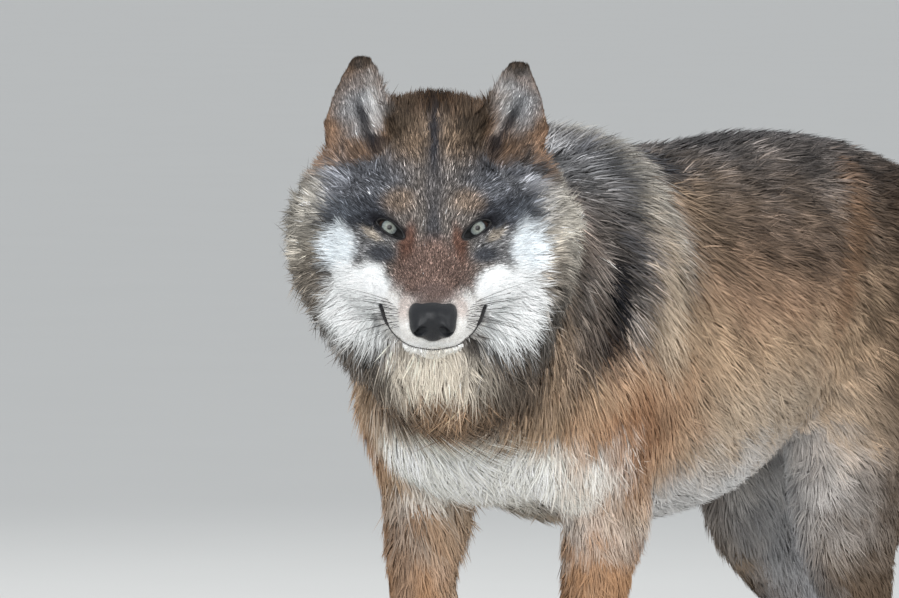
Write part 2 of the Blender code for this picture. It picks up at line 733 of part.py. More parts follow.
def make_body_pieces(groups):
    """The neck, trunk, tail and legs."""
    trunk = joined_form("trunk", without_hollows(groups[:2]), groups, BODY_VOXEL, BODY_TRIANGLES)
    cut(trunk, Region((-1, -1, -1), (1, 1, SOLE_CUT)).cutter(0), "DIFFERENCE")
    cut(trunk, HEAD_REGION.cutter(PART_GAP / 2), "DIFFERENCE")
    pieces = [part_off(trunk, "neck", NECK_REGION), part_off(trunk, "tail", TAIL_REGION)]
    for name, leg in FORELEGS.items():
        low, high = sorted((leg["side"] * LEG_INSIDE, leg["side"] * LEG_OUTSIDE))
        region = Region((low, -0.350, -0.1), (high, -0.060, FOREARM_TOP))
        lengths = (("forearm", WRIST_HEIGHT), ("pastern", FOREPAW_TOP))
        made = leg_pieces(trunk, f"foreleg_{name}", region, lengths)
        pieces += made + add_claws(made[-1], f"fore_{name}", leg["side"] * FOOT_OUT, leg["toes"], 1.0)
    for name, leg in HIND_LEGS.items():
        low, high = sorted((leg["side"] * LEG_INSIDE, leg["side"] * LEG_OUTSIDE))
        region = Region((low, 0.100, -0.1), (high, 0.700, THIGH_BOTTOM))
        lengths = (("shank", HOCK_HEIGHT), ("pastern", HIND_PAW_TOP))
        made = leg_pieces(trunk, f"hindleg_{name}", region, lengths)
        made.insert(0, part_off(trunk, f"hindleg_{name}_thigh", thigh_region(leg["side"], leg["knee"])))
        pieces += made + add_claws(made[-1], f"hind_{name}", leg["side"] * FOOT_OUT, leg["toes"], HIND_PAW)
    return [trunk] + pieces


COLOURS = {
    "coat": ((0.30, 0.22, 0.14), 0.90),
    "legs": ((0.42, 0.30, 0.18), 0.90),
    "nose": ((0.015, 0.015, 0.018), 0.45),
    "eye": ((0.62, 0.60, 0.34), 0.12),
    "claw": ((0.03, 0.028, 0.026), 0.40),
}


def finish_of(name):
    """Which of the COLOURS a piece takes."""
    if name.startswith(("eye", "nose", "claw")):
        return name.split("_")[0]
    return "legs" if "leg" in name else "coat"


def paint(piece):
    """Gives a piece a material of its own."""
    colour, roughness = COLOURS[finish_of(piece.name)]
    material = bpy.data.materials.new(piece.name)
    material.use_nodes = True
    surface = material.node_tree.nodes["Principled BSDF"]
    surface.inputs["Base Color"].default_value = (*colour, 1.0)
    surface.inputs["Roughness"].default_value = roughness
    surface.inputs["Metallic"].default_value = 0.0
    piece.data.materials.clear()
    piece.data.materials.append(material)


def set_on_origin(pieces):
    """Moves all pieces so that the origin is under the middle of their box, on the floor."""
    corners = np.array([tuple(vertex.co) for piece in pieces for vertex in piece.data.vertices])
    low, high = corners.min(axis=0), corners.max(axis=0)
    shift = Matrix.Translation((-(low[0] + high[0]) / 2, -(low[1] + high[1]) / 2, -low[2]))
    for piece in pieces:
        piece.data.transform(shift)


def main():
    for old in list(bpy.data.objects):
        bpy.data.objects.remove(old)
    groups = all_masses()
    pieces = make_head_pieces(groups) + make_body_pieces(groups)
    set_on_origin(pieces)
    wolf = bpy.data.collections.new("grey_wolf")
    bpy.context.scene.collection.children.link(wolf)
    for piece in pieces:
        bpy.context.scene.collection.objects.unlink(piece)
        wolf.objects.link(piece)
        paint(piece)
        piece.data.shade_smooth()
        piece.data.set_sharp_from_angle(angle=math.radians(50))


if __name__ == "__main__":
    main()
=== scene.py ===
"""A grey wolf in its winter coat, standing still, for a museum-like display.

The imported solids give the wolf's outline, pieces and place. This script adds the looks: one skin
over all the flesh, a coat of tufts that follows the lie of the hair, the eyes and their lids, the
nose, the claws and the whiskers, and a pale studio. The form is the same smooth blend of round
masses as the solids, so the skin can be laid at any depth under the outline of the coat.
Metres, +Z up, the wolf faces -Y and its left side is +X.
"""

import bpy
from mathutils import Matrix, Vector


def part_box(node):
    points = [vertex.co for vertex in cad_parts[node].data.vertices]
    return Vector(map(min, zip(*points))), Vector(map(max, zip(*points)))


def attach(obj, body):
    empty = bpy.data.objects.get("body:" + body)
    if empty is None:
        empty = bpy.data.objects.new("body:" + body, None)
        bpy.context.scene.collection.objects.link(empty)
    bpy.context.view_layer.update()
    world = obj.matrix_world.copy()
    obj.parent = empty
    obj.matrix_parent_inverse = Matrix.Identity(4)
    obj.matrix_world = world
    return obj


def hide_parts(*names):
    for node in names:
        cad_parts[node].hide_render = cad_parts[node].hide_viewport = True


bl_info = {
    "name": "Grey Wolf",
    "version": (1, 0, 0),
    "blender": (4, 5, 0),
    "location": "View3D > Sidebar > Wolf",
    "description": "Skin, coat, eyes, nose, claws and whiskers of a grey wolf in its winter coat",
    "category": "Object",
}

import math

import bmesh
import bpy
import numpy as np
from bpy.props import FloatProperty, FloatVectorProperty, IntProperty, PointerProperty
from mathutils import Matrix, Vector

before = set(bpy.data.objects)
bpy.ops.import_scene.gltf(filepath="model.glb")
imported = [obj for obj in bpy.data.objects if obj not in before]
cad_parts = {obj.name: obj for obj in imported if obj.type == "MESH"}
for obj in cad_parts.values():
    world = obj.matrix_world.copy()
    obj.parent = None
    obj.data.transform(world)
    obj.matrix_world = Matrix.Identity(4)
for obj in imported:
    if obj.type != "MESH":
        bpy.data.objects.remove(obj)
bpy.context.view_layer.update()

# ---- driving dimensions
WITHERS = 0.797  # height of the coat over the shoulder blades
CROUP = 0.772  # height of the coat over the hips
BRISKET = 0.417  # height of the coat under the chest
CHEST_FRONT = -0.365  # where the coat of the chest begins
RUMP_BACK = 0.545  # where the coat of the rump ends
CHEST_HALF_WIDTH = 0.15

HEAD_AT = Vector((0.168, -0.553, 0.728))  # the point midway between the eyes
HEAD_YAW = math.radians(35.0)  # the head is turned this far to the left
HEAD_PITCH = math.radians(17.0)  # and carried this far nose-down
HEAD_ROLL = math.radians(0.5)

EYE_HALF_SPACING = 0.0405
EYE_RADIUS = 0.012
FACE_TIP = 20.5  # degrees that the axes of the face are tipped up from those of the head
HEAD_END = 0.108  # where the head ends and the neck starts, along the head
EYE_OPENING = (0.0298, 0.0068, 0.0043)  # corner to corner, then the height over and under that line
EYE_MIDDLE = (0.0398, -0.0012)  # middle of the line between the corners, in the face's axes
EYE_SLANT = 29.5  # degrees that the outer corner of an eye is above the inner one
EYE_LIFT = 0.0018  # how far the eyeball's middle is above the point between the eyes
EYE_DEPTH = -0.003  # how far the eyeball's middle is behind the point between the eyes
CLAW_LENGTH = 0.022
CLAW_RADIUS = 0.0034
CLAW_PITCH = 118.0  # degrees from straight up, over the toes to the floor
CLAW_CURVE = 0.25
SOLE_EDGE = 0.006  # rounding of the edge of the soles

EAR_LENGTH = 0.1
EAR_AT = (0.0648, 0.078, 0.036)  # middle of the left ear's base, in the head's own axes
EAR_BACK = {1: 4.0, -1: -6.0}  # degrees that the left ear leans forward and the right ear back
EAR_OUT = {1: 8.0, -1: 4.5}  # degrees that the left and the right ear tip outward
EAR_OPEN = 14.0  # degrees that they open to the side

SETTLE_REACH = 0.045  # vertices deeper inside than this are not on the surface and stay


# ---- distance to one mass
def lengths(rows):
    """The length of each vector along the last axis of an array."""
    return np.linalg.norm(rows, axis=-1)


def unit_rows(rows):
    """The rows made one long."""
    return rows / np.maximum(np.linalg.norm(rows, axis=1, keepdims=True), 1e-6)


def turned(rotation):
    """Rotation matrix from three angles in degrees about X, Y and Z."""
    rx, ry, rz = (math.radians(angle) for angle in rotation)
    turn = Matrix.Rotation(rz, 3, "Z") @ Matrix.Rotation(ry, 3, "Y") @ Matrix.Rotation(rx, 3, "X")
    return np.array(turn)


def unit_ball_at(middle, radii):
    """The matrix that makes a unit ball an ellipsoid at that place."""
    return Matrix.Translation(middle) @ Matrix.Diagonal((*radii, 1.0))


def to_length(points, start, end, radii):
    """Distance from points to a tapered round-ended length."""
    along = end - start
    local = points - start
    share = np.clip(local @ along / (along @ along), 0, 1)
    return lengths(local - share[:, None] * along) - (radii[0] + (radii[1] - radii[0]) * share)


class Ball:
    """An ellipsoid of muscle or coat."""

    def __init__(self, at, radii, turn=(0, 0, 0), blend=0.03):
        self.at = np.array(at, float)
        self.radii = np.array(radii, float)
        self.axes = turned(turn)
        self.blend = blend

    def centre_and_reach(self):
        return self.at, self.radii.max()

    def distance(self, points):
        local = (points - self.at) @ self.axes
        scaled = lengths(local / self.radii)
        slope = lengths(local / self.radii**2)
        return np.where(slope > 1e-6, scaled * (scaled - 1) / np.maximum(slope, 1e-6), -self.radii.min())

    def balls(self):
        """The balls that stand for this mass in the first joined mesh, as matrices of a unit ball."""
        place = Matrix.Translation(self.at) @ Matrix(self.axes.tolist()).to_4x4()
        return [place @ Matrix.Diagonal((*self.radii, 1.0))]


class Limb:
    """A tapered round-ended length between two joints. wide narrows it across the body."""

    def __init__(self, start, end, start_radius, end_radius, wide=1.0, blend=0.02):
        self.start = np.array(start, float)
        self.end = np.array(end, float)
        self.radii = (start_radius, end_radius)
        self.wide = wide
        self.blend = blend

    def centre_and_reach(self):
        half = np.linalg.norm(self.end - self.start) / 2
        return (self.start + self.end) / 2, half + max(self.radii)

    def distance(self, points):
        narrow = np.array([1 / self.wide, 1, 1])
        near = to_length(points * narrow, self.start * narrow, self.end * narrow, self.radii)
        return near * min(1.0, self.wide)

    def balls(self):
        made = []
        for share in np.linspace(0, 1, 6):
            radius = self.radii[0] + (self.radii[1] - self.radii[0]) * share
            at = self.start + (self.end - self.start) * share
            made.append(unit_ball_at(at, (radius * self.wide, radius, radius)))
        return made


class Chain:
    """A bent length with a smooth taper, given by stations of (x, y, z, radius)."""

    def __init__(self, stations, wide=1.0, blend=0.02):
        table = np.array(stations, float)
        knots = np.arange(len(table))
        at = np.linspace(0, len(table) - 1, 5 * (len(table) - 1) + 1)
        line = np.stack([smooth_line(knots, table[:, k], at) for k in range(4)], axis=1)
        self.points = line[:, :3]
        self.radii = line[:, 3]
        self.wide = wide
        self.blend = blend

    def centre_and_reach(self):
        middle = (self.points.min(axis=0) + self.points.max(axis=0)) / 2
        return middle, (lengths(self.points - middle) + self.radii).max()

    def distance(self, points):
        narrow = np.array([1 / self.wide, 1, 1])
        path = self.points * narrow
        where = points * narrow
        near = np.full(len(points), 1.0)
        for k in range(len(path) - 1):
            near = np.minimum(near, to_length(where, path[k], path[k + 1], self.radii[k:k + 2]))
        return near * min(1.0, self.wide)

    def balls(self):
        return [
            unit_ball_at(at, (radius * self.wide, radius, radius))
            for at, radius in zip(self.points[::2], self.radii[::2])
        ]


class Barrel:
    """A body lying along Y, given by stations of (y, top, bottom, half width)."""

    def __init__(self, stations, square=2.2, blend=0.03):
        table = np.array(stations, float)
        self.at_y = np.linspace(table[0, 0], table[-1, 0], 120)
        lines = (smooth_line(table[:, 0], table[:, k], self.at_y) for k in (1, 2, 3))
        self.top, self.bottom, self.half = lines
        self.square = square
        self.blend = blend

    def centre_and_reach(self):
        middle = np.array([0, (self.at_y[0] + self.at_y[-1]) / 2, (self.top.max() + self.bottom.min()) / 2])
        spans = (self.at_y[-1] - self.at_y[0], self.top.max() - self.bottom.min(), 2 * self.half.max())
        return middle, math.hypot(*spans) / 2

    def distance(self, points):
        y = np.clip(points[:, 1], self.at_y[0], self.at_y[-1])
        top, bottom, half = (np.interp(y, self.at_y, line) for line in (self.top, self.bottom, self.half))
        up = points[:, 2] - (top + bottom) / 2
        tall = (top - bottom) / 2
        power = self.square
        share = (np.abs(points[:, 0] / half) ** power + np.abs(up / tall) ** power) ** (1 / power)
        radial = np.hypot(points[:, 0], up)
        near = np.where(share > 1e-3, radial * (1 - 1 / np.maximum(share, 1e-3)), -np.minimum(half, tall))
        past = points[:, 1] - y
        return np.where(np.abs(past) > 0, np.hypot(np.maximum(near, 0), past), near)

    def balls(self):
        made = []
        for k in range(4, len(self.at_y) - 4, 3):
            middle = (self.top[k] + self.bottom[k]) / 2
            tall = (self.top[k] - self.bottom[k]) / 2
            long = min(self.half[k], tall) * 0.5
            made.append(unit_ball_at((0, self.at_y[k], middle), (self.half[k], long, tall)))
        return made


def smooth_line(knots, values, at):
    """A curve through the knots with no overshoot between them (monotone cubic)."""
    step = np.diff(knots)
    slope = np.diff(values) / step
    lean = np.zeros(len(knots))
    same = slope[1:] * slope[:-1] > 0
    lean[1:-1][same] = 2 * slope[1:][same] * slope[:-1][same] / (slope[1:] + slope[:-1])[same]
    lean[0], lean[-1] = slope[0], slope[-1]
    k = np.clip(np.searchsorted(knots, at) - 1, 0, len(step) - 1)
    t = (at - knots[k]) / step[k]
    return (values[k] * (1 + 2 * t) * (1 - t) ** 2 + values[k + 1] * t * t * (3 - 2 * t)
            + step[k] * (lean[k] * t * (1 - t) ** 2 - lean[k + 1] * t * t * (1 - t)))


# ---- blending masses
def blended(near, other, reach):
    """The smaller of two distances, with a fillet of that reach between them."""
    overlap = np.maximum(reach - np.abs(near - other), 0) / reach
    return np.minimum(near, other) - overlap**2 * reach / 4


def hollowed(near, cutter, reach):
    """near with cutter taken out of it, with a fillet of that reach."""
    return -blended(-near, cutter, reach)


def both_sides(make):
    """The masses that make(side) gives for the left side and the right side."""
    return make(1) + make(-1)


# ---- the masses of the body
def trunk_masses():
    back = Barrel([
        (CHEST_FRONT, 0.59, 0.545, 0.025),
        (-0.35, 0.645, 0.505, 0.052),
        (-0.31, 0.705, 0.472, 0.084),
        (-0.25, 0.75, 0.448, 0.112),
        (-0.18, 0.784, 0.434, 0.134),
        (-0.11, WITHERS, BRISKET, CHEST_HALF_WIDTH - 0.002),
        (0, 0.781, 0.41, CHEST_HALF_WIDTH),
        (0.08, 0.781, 0.416, 0.147),
        (0.15, 0.784, 0.442, 0.141),
        (0.2, 0.787, 0.474, 0.135),
        (0.25, 0.787, 0.506, 0.128),
        (0.3, 0.784, 0.53, 0.122),
        (0.38, CROUP, 0.545, 0.114),
        (0.45, CROUP - 0.028, 0.56, 0.1),
        (0.51, CROUP - 0.064, 0.58, 0.075),
        (RUMP_BACK, 0.672, 0.61, 0.035),
    ], square=2.15, blend=0.05)
    mane = Ball((0.01, -0.15, 0.68), (0.1, 0.13, 0.108), blend=0.04)
    shoulders = both_sides(lambda side: [
        Ball((side * 0.09, -0.17, 0.63), (0.056, 0.09, 0.15), turn=(-14, side * -6, 0), blend=0.05),
        Ball((side * 0.084, -0.2, 0.53), (0.046, 0.072, 0.085), turn=(20, 0, 0), blend=0.04),
    ])
    haunches = both_sides(lambda side: [
        Ball((side * 0.066, 0.4, 0.605), (0.058, 0.108, 0.112), blend=0.06),
    ])
    return [back, mane] + shoulders + haunches


def neck_masses():
    return [
        Limb((0.005, -0.16, 0.655), (0.092, -0.425, 0.69), 0.122, 0.112, blend=0.06),
        Limb((0.03, -0.27, 0.57), (0.112, -0.45, 0.625), 0.092, 0.088, blend=0.05),
    ]


FOOT_OUT = 0.078  # how far each paw is from the middle plane
FORELEG_OUT = 0.084  # how far the upper forelegs are from it
HIND_LEG_OUT = 0.086  # how far the upper hind legs are from it
FORE_FOOT = 0.07  # from the tips of the toes back to the joint over the paw
HIND_FOOT = 0.062
HIND_PAW = 0.92  # size of a hind paw to a fore paw
FORELEGS = {
    "left": {"side": 1, "shoulder": -0.19, "elbow": -0.146, "wrist": -0.19, "toes": -0.25},
    "right": {"side": -1, "shoulder": -0.205, "elbow": -0.2, "wrist": -0.214, "toes": -0.275},
}
HIND_LEGS = {
    "left": {"side": 1, "hip": 0.37, "knee": 0.238, "hock": 0.33, "toes": 0.226},
    "right": {"side": -1, "hip": 0.4, "knee": 0.335, "hock": 0.518, "toes": 0.436},
}


def foreleg_masses(leg):
    x = leg["side"] * FORELEG_OUT
    low_x = leg["side"] * FOOT_OUT
    elbow, wrist, toes = leg["elbow"], leg["wrist"], leg["toes"]
    foot = toes + FORE_FOOT
    return [
        Chain([
            (x, leg["shoulder"], 0.545, 0.05),
            (x, elbow - 0.01, 0.45, 0.046),
            (x, elbow - 0.012, 0.4, 0.0405),
            (x, (elbow + wrist) / 2 - 0.004, 0.32, 0.0345),
            (low_x, wrist - 0.001, 0.25, 0.0295),
            (low_x, wrist - 0.003, 0.21, 0.03),
            (low_x, wrist, 0.165, 0.026),
            (low_x, (wrist + foot) / 2, 0.115, 0.0245),
            (low_x, foot, 0.07, 0.027),
        ], wide=0.92, blend=0.03),
        Ball((x, elbow + 0.012, 0.438), (0.032, 0.034, 0.046), blend=0.03),
    ] + paw_masses(low_x, toes, 1)


def hind_leg_masses(leg):
    side, hip, knee, hock, toes = (leg[k] for k in ("side", "hip", "knee", "hock", "toes"))
    x = side * HIND_LEG_OUT
    low_x = side * FOOT_OUT
    foot = toes + HIND_FOOT
    return [
        Chain([
            (side * 0.07, hip + 0.012, 0.61, 0.098),
            (side * 0.078, hip - 0.035, 0.545, 0.09),
            (x, knee + 0.04, 0.47, 0.07),
            (x, knee + 0.03, 0.4, 0.054),
            (x, (knee + hock) / 2 + 0.012, 0.32, 0.0395),
            (low_x, hock - 0.01, 0.25, 0.0285),
            (low_x, hock, 0.215, 0.0275),
            (low_x, hock - 0.008, 0.165, 0.0235),
            (low_x, (hock + foot) / 2 - 0.002, 0.11, 0.023),
            (low_x, foot, 0.065, 0.025),
        ], wide=0.78, blend=0.05),
        Chain([
            (side * 0.066, hip + 0.085, 0.6, 0.07),
            (side * 0.076, hip + 0.07, 0.52, 0.06),
            (x, (knee + hock) / 2 + 0.05, 0.43, 0.042),
            (x, (knee + 2 * hock) / 3 + 0.014, 0.35, 0.029),
            (low_x, hock + 0.006, 0.275, 0.017),
            (low_x, hock + 0.012, 0.228, 0.016),
        ], wide=0.9, blend=0.035),
        Ball((x, knee + 0.088, 0.425), (0.036, 0.048, 0.06), blend=0.03),
    ] + paw_masses(low_x, toes, HIND_PAW)


def paw_masses(x, tip, size):
    """A paw whose middle toes end at y = tip: four toes, the knuckles and the heel pad."""
    toe_radii = (0.014 * size, 0.029 * size, 0.02 * size)
    knuckle_radii = (0.037 * size, 0.038 * size, 0.029 * size)
    heel_radii = (0.027 * size, 0.025 * size, 0.018 * size)
    toes = []
    for across, back in TOES:
        at = (x + across * size, tip + (back + 0.026) * size, TOE_HEIGHT * size)
        toes.append(Ball(at, toe_radii, turn=(-12, 0, across * TOE_SPREAD), blend=0.004))
    knuckles = Ball((x, tip + 0.069 * size, 0.031 * size), knuckle_radii, turn=(-14, 0, 0), blend=0.014)
    heel = Ball((x, tip + 0.09 * size, 0.014 * size), heel_radii, blend=0.015)
    return toes + [knuckles, heel]


TOES = ((-0.0335, 0.021), (-0.0118, 0.003), (0.0118, 0.003), (0.0335, 0.021))  # across, and back from the tip
TOE_HEIGHT = 0.0185  # of the middle of a toe over the floor
TOE_SPREAD = -260  # degrees that a toe turns out for each metre it lies to the side


def tail_masses():
    return [Chain([
        (0, 0.49, 0.68, 0.046),
        (0.004, 0.56, 0.64, 0.043),
        (0.01, 0.602, 0.56, 0.05),
        (0.014, 0.616, 0.46, 0.055),
        (0.014, 0.61, 0.37, 0.047),
        (0.012, 0.594, 0.3, 0.022),
        (0.011, 0.588, 0.28, 0.008),
    ], wide=0.92, blend=0.03)]


# ---- the masses of the head
# The head's own axes start midway between the eyes: x to its left, -y forward, z up.
def head_masses():
    crown = [
        Ball((0, 0.078, 0.012), (0.062, 0.08, 0.066), blend=0.03),
        Ball((0, 0.022, 0.006), (0.046, 0.05, 0.033), blend=0.03),
        Ball((0, 0.118, -0.02), (0.092, 0.07, 0.1), blend=0.04),
    ]
    muzzle = [
        Limb((0, 0.01, -0.03), (0, -0.098, -0.05), 0.043, 0.025, wide=0.98, blend=0.02),
        Limb((0, 0.01, -0.01), (0, -0.112, -0.042), 0.024, 0.0155, wide=1.15, blend=0.015),
        Limb((0, 0.015, -0.064), (0, -0.086, -0.075), 0.034, 0.0185, wide=1.25, blend=0.006),
        Ball((0, 0.02, -0.085), (0.05, 0.05, 0.034), blend=0.03),
    ]
    sides = both_sides(lambda side: [
        Limb((side * 0.026, 0.002, 0.014), (side * 0.054, 0.02, 0.019), 0.0135, 0.013, blend=0.016),
        Ball((side * 0.05, 0.044, -0.012), (0.036, 0.052, 0.042), blend=0.03),
        Ball((side * 0.038, 0.004, -0.03), (0.021, 0.026, 0.018), blend=0.02),
        Limb((side * 0.03, -0.022, -0.05), (side * 0.074, 0.066, -0.05), 0.024, 0.056, blend=0.03),
        Ball((side * 0.086, 0.094, -0.022), (0.046, 0.046, 0.064), turn=(0, side * -16, 0), blend=0.03),
        Ball((side * 0.062, 0.072, -0.086), (0.05, 0.046, 0.052), blend=0.04),
        Limb((side * 0.013, -0.098, -0.0545), (side * 0.024, -0.046, -0.054), 0.0175, 0.0215, blend=0.012),
        Limb((side * 0.014, -0.094, -0.07), (side * 0.031, -0.04, -0.0655), 0.0135, 0.017, blend=0.008),
        Limb((side * 0.01, 0.105, 0.062), (side * 0.04, 0.1, 0.062), 0.0255, 0.0235, blend=0.025),
    ])
    throat = [Ball((0, 0.07, -0.11), (0.08, 0.068, 0.06), blend=0.05)]
    return crown + muzzle + sides + throat


# the axes of the face in those of the head
FACE_TURN = np.array(Matrix.Rotation(math.radians(-FACE_TIP), 3, "X"))
BEFORE_FACE = -0.16  # a plane before the whole face, from which points are moved back onto it


def on_face(x, z, masses):
    """Points of a bare head's surface straight behind x, z of the face, in the head's own axes."""
    at = np.stack([x, np.full(len(x), BEFORE_FACE), z], axis=1)
    group = [(Matrix.Identity(4), masses, [])]
    for _ in range(45):
        at[:, 1] += np.clip(0.8 * bare_distance(at @ FACE_TURN.T, group), -0.008, 0.008)
    return at @ FACE_TURN.T


def lid_heights(along):
    """How far the edges of the upper and the lower lid are from the line between the corners."""
    rise = np.maximum(1 - along**2, 0) ** 0.58
    return EYE_OPENING[1] * rise * (1 + 0.22 * along), -EYE_OPENING[2] * rise * (1 - 0.3 * along)


def lid_line(side, steps=64, grow=1.0, sink=0.0012):
    """The edges of the lids of an eye, in the head's own axes, from the inner corner up and round."""
    turn = np.linspace(0, 2 * math.pi, steps, endpoint=False)
    along = -np.cos(turn)
    upper, lower = lid_heights(along)
    up = np.where(np.sin(turn) > 0, upper, lower) * grow
    across = along * EYE_OPENING[0] / 2 * grow
    slant = math.radians(EYE_SLANT)
    x = EYE_MIDDLE[0] + across * math.cos(slant) - up * math.sin(slant)
    z = EYE_MIDDLE[1] + across * math.sin(slant) + up * math.cos(slant)
    line = on_face(x, z, head_masses()) @ FACE_TURN
    line[:, 1] += sink
    ball = np.array([EYE_HALF_SPACING, EYE_DEPTH, EYE_LIFT]) @ FACE_TURN
    left = (EYE_RADIUS + 0.0006) ** 2 - (line[:, 0] - ball[0]) ** 2 - (line[:, 2] - ball[2]) ** 2
    over = ball[1] - np.sqrt(np.maximum(left, 0))
    line[:, 1] = np.where(left > 0, np.minimum(line[:, 1], over), line[:, 1])
    return line @ FACE_TURN.T * (side, 1, 1)


def lid_folds():
    """The soft ridge round each eye."""
    made = []
    for side in (1, -1):
        line = lid_line(side, 48, 1.32, 0.0044)
        made.append(Chain([(*at, 0.0052) for at in (*line[::3], line[0])], blend=0.0045))
    return made


def nose_masses():
    wings = both_sides(lambda side: [
        Ball((side * 0.0115, -0.1195, -0.049), (0.0098, 0.015, 0.012), blend=0.005),
        Ball((side * 0.013, -0.112, -0.04), (0.009, 0.014, 0.009), blend=0.005),
    ])
    pad = [
        Ball((0, -0.1165, -0.0425), (0.0185, 0.0165, 0.015), blend=0.006),
        Ball((0, -0.114, -0.057), (0.012, 0.013, 0.0098), blend=0.006),
    ]
    return pad + wings


def nose_hollows():
    """The two nostrils, each with the slit at its outer side, and the groove down the middle."""
    nostrils = both_sides(lambda side: [
        Chain([
            (side * 0.007, -0.135, -0.049, 0.0034),
            (side * 0.0098, -0.1335, -0.0508, 0.0044),
            (side * 0.0145, -0.129, -0.0535, 0.0025),
            (side * 0.0195, -0.123, -0.054, 0.0014),
        ], blend=0.0015),
    ])
    groove = [Limb((0, -0.135, -0.052), (0, -0.127, -0.068), 0.0009, 0.0012, blend=0.0015)]
    return nostrils + groove


# Each ear's own axes start at its base: z along the ear and -y out of its opening.
def ear_masses():
    tip = EAR_LENGTH - 0.01
    return [
        Chain([
            (0, 0.004, -0.015, 0.0215),
            (0, 0.004, 0.02, 0.0215),
            (0, 0.003, 0.048, 0.018),
            (0, 0.004, 0.074, 0.0118),
            (0, 0.006, tip, 0.0072),
        ], wide=1.82, blend=0.012),
    ]


def ear_hollows():
    return [
        Chain([
            (0, -0.014, 0.01, 0.0135),
            (0, -0.012, 0.028, 0.0165),
            (0, -0.009, 0.05, 0.014),
            (0, -0.006, 0.071, 0.0088),
            (0, -0.003, 0.084, 0.0046),
        ], wide=1.82, blend=0.003),
    ]


HEAD_MATRIX = (
    Matrix.Translation(HEAD_AT)
    @ Matrix.Rotation(HEAD_YAW, 4, "Z")
    @ Matrix.Rotation(HEAD_PITCH, 4, "X")
    @ Matrix.Rotation(HEAD_ROLL, 4, "Y")
)


def ear_matrix(side):
    return (
        HEAD_MATRIX
        @ Matrix.Translation((side * EAR_AT[0], EAR_AT[1], EAR_AT[2]))
        @ Matrix.Rotation(side * math.radians(EAR_OPEN), 4, "Z")
        @ Matrix.Rotation(side * math.radians(EAR_OUT[side]), 4, "Y")
        @ Matrix.Rotation(math.radians(EAR_BACK[side]), 4, "X")
    )


# ---- the whole form
def all_masses():
    """Groups of (axes, masses, hollows). The first is the body, in the wolf's own axes."""
    body = trunk_masses() + neck_masses() + tail_masses()
    for leg in FORELEGS.values():
        body += foreleg_masses(leg)
    for leg in HIND_LEGS.values():
        body += hind_leg_masses(leg)
    return [
        (Matrix.Identity(4), body, []),
        (HEAD_MATRIX, head_masses() + lid_folds(), lip_grooves()),
        (ear_matrix(1), ear_masses(), ear_hollows()),
        (ear_matrix(-1), ear_masses(), ear_hollows()),
    ]


def form_distance(points, groups):
    """Distance from points to the coat's outer surface, negative inside, with the soles cut flat."""
    return hollowed(bare_distance(points, groups), points[:, 2], SOLE_EDGE)


def bare_distance(points, groups):
    """The same with no floor under it."""
    total = np.full(len(points), 1.0)
    for axes, masses, hollows in groups:
        local = (points - np.array(axes.translation)) @ np.array(axes.to_3x3())
        for mass in masses:
            middle, reach = mass.centre_and_reach()
            close = np.flatnonzero(lengths(local - middle) < reach + mass.blend + 0.03)
            if len(close):
                total[close] = blended(total[close], mass.distance(local[close]), mass.blend)
        for hollow in hollows:
            middle, reach = hollow.centre_and_reach()
            close = np.flatnonzero(lengths(local - middle) < reach + 0.01)
            if len(close):
                total[close] = hollowed(total[close], hollow.distance(local[close]), hollow.blend)
    return total


def settled(points, groups, level, rounds=3, distance=form_distance):
    """The points moved along the slope of the distance until it is equal to level."""
    here = distance(points, groups)
    near = np.abs(here - level) < SETTLE_REACH
    at = points[near]
    level = np.broadcast_to(level, len(points))[near]
    nudge = 0.0006
    for _ in range(rounds):
        here = distance(at, groups)
        slope = np.empty_like(at)
        for axis in range(3):
            ahead = at.copy()
            ahead[:, axis] += nudge
            slope[:, axis] = (distance(ahead, groups) - here) / nudge
        length = np.maximum(lengths(slope), 0.3)
        step = np.clip((here - level) / length, -0.012, 0.012)
        at = at - slope / length[:, None] * step[:, None]
    moved = points.copy()
    moved[near] = at
    return moved


# The line between the lips, from the corner of the mouth to its middle, in the head's own axes.
LIP_LINE = ((0.048, -0.071), (0.0425, -0.0865), (0.034, -0.099), (0.018, -0.1085), (0.0, -0.1115))


def lip_line(steps):
    """The line between the lips from its corner to its middle, across and up in the face's axes."""
    table = np.array(LIP_LINE)
    at = np.linspace(0, len(table) - 1, steps)
    return np.stack([smooth_line(np.arange(len(table)), table[:, k], at) for k in range(2)], axis=1)


def lip_points(side, steps=24):
    """The lip line laid on the surface of the bare head."""
    line = lip_line(steps)
    return on_face(line[:, 0], line[:, 1], head_masses()) * (side, 1, 1)


def lip_width(steps):
    """Half width of the dark line between the lips, from the corner of the mouth to its middle."""
    return 0.0007 + 0.001 * (1 - soft_step(0, 0.6, np.linspace(0, 1, steps)))


def lip_far(local):
    """How many half widths of the dark line points of the head are from it, seen from the front."""
    face = local @ FACE_TURN
    plane = np.stack([np.abs(face[:, 0]), face[:, 2]], axis=1)
    far = (lengths(plane[:, None] - lip_line(40)) / lip_width(40)).min(axis=1)
    return np.where(face[:, 1] < 0, far, 9.0)


def lip_grooves():
    return [
        Chain([(*point, 0.0011) for point in lip_points(side)[::3]], blend=0.0025)
        for side in (1, -1)
    ]


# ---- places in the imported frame
def box_middle(node):
    low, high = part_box(node)
    return (low + high) / 2


BETWEEN_EYES = (box_middle("eye_left") + box_middle("eye_right")) / 2
BETWEEN_EYES -= HEAD_MATRIX.to_3x3() @ Vector((0, EYE_DEPTH, 0))
TO_FRAME = BETWEEN_EYES - HEAD_AT  # from the form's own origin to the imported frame's
TO_FACE = HEAD_MATRIX @ Matrix.Rotation(math.radians(-FACE_TIP), 4, "X")  # y runs into the face


def local_to(axes, points):
    """Points of the form in the given axes."""
    return (points - np.array(axes.translation)) @ np.array(axes.to_3x3())


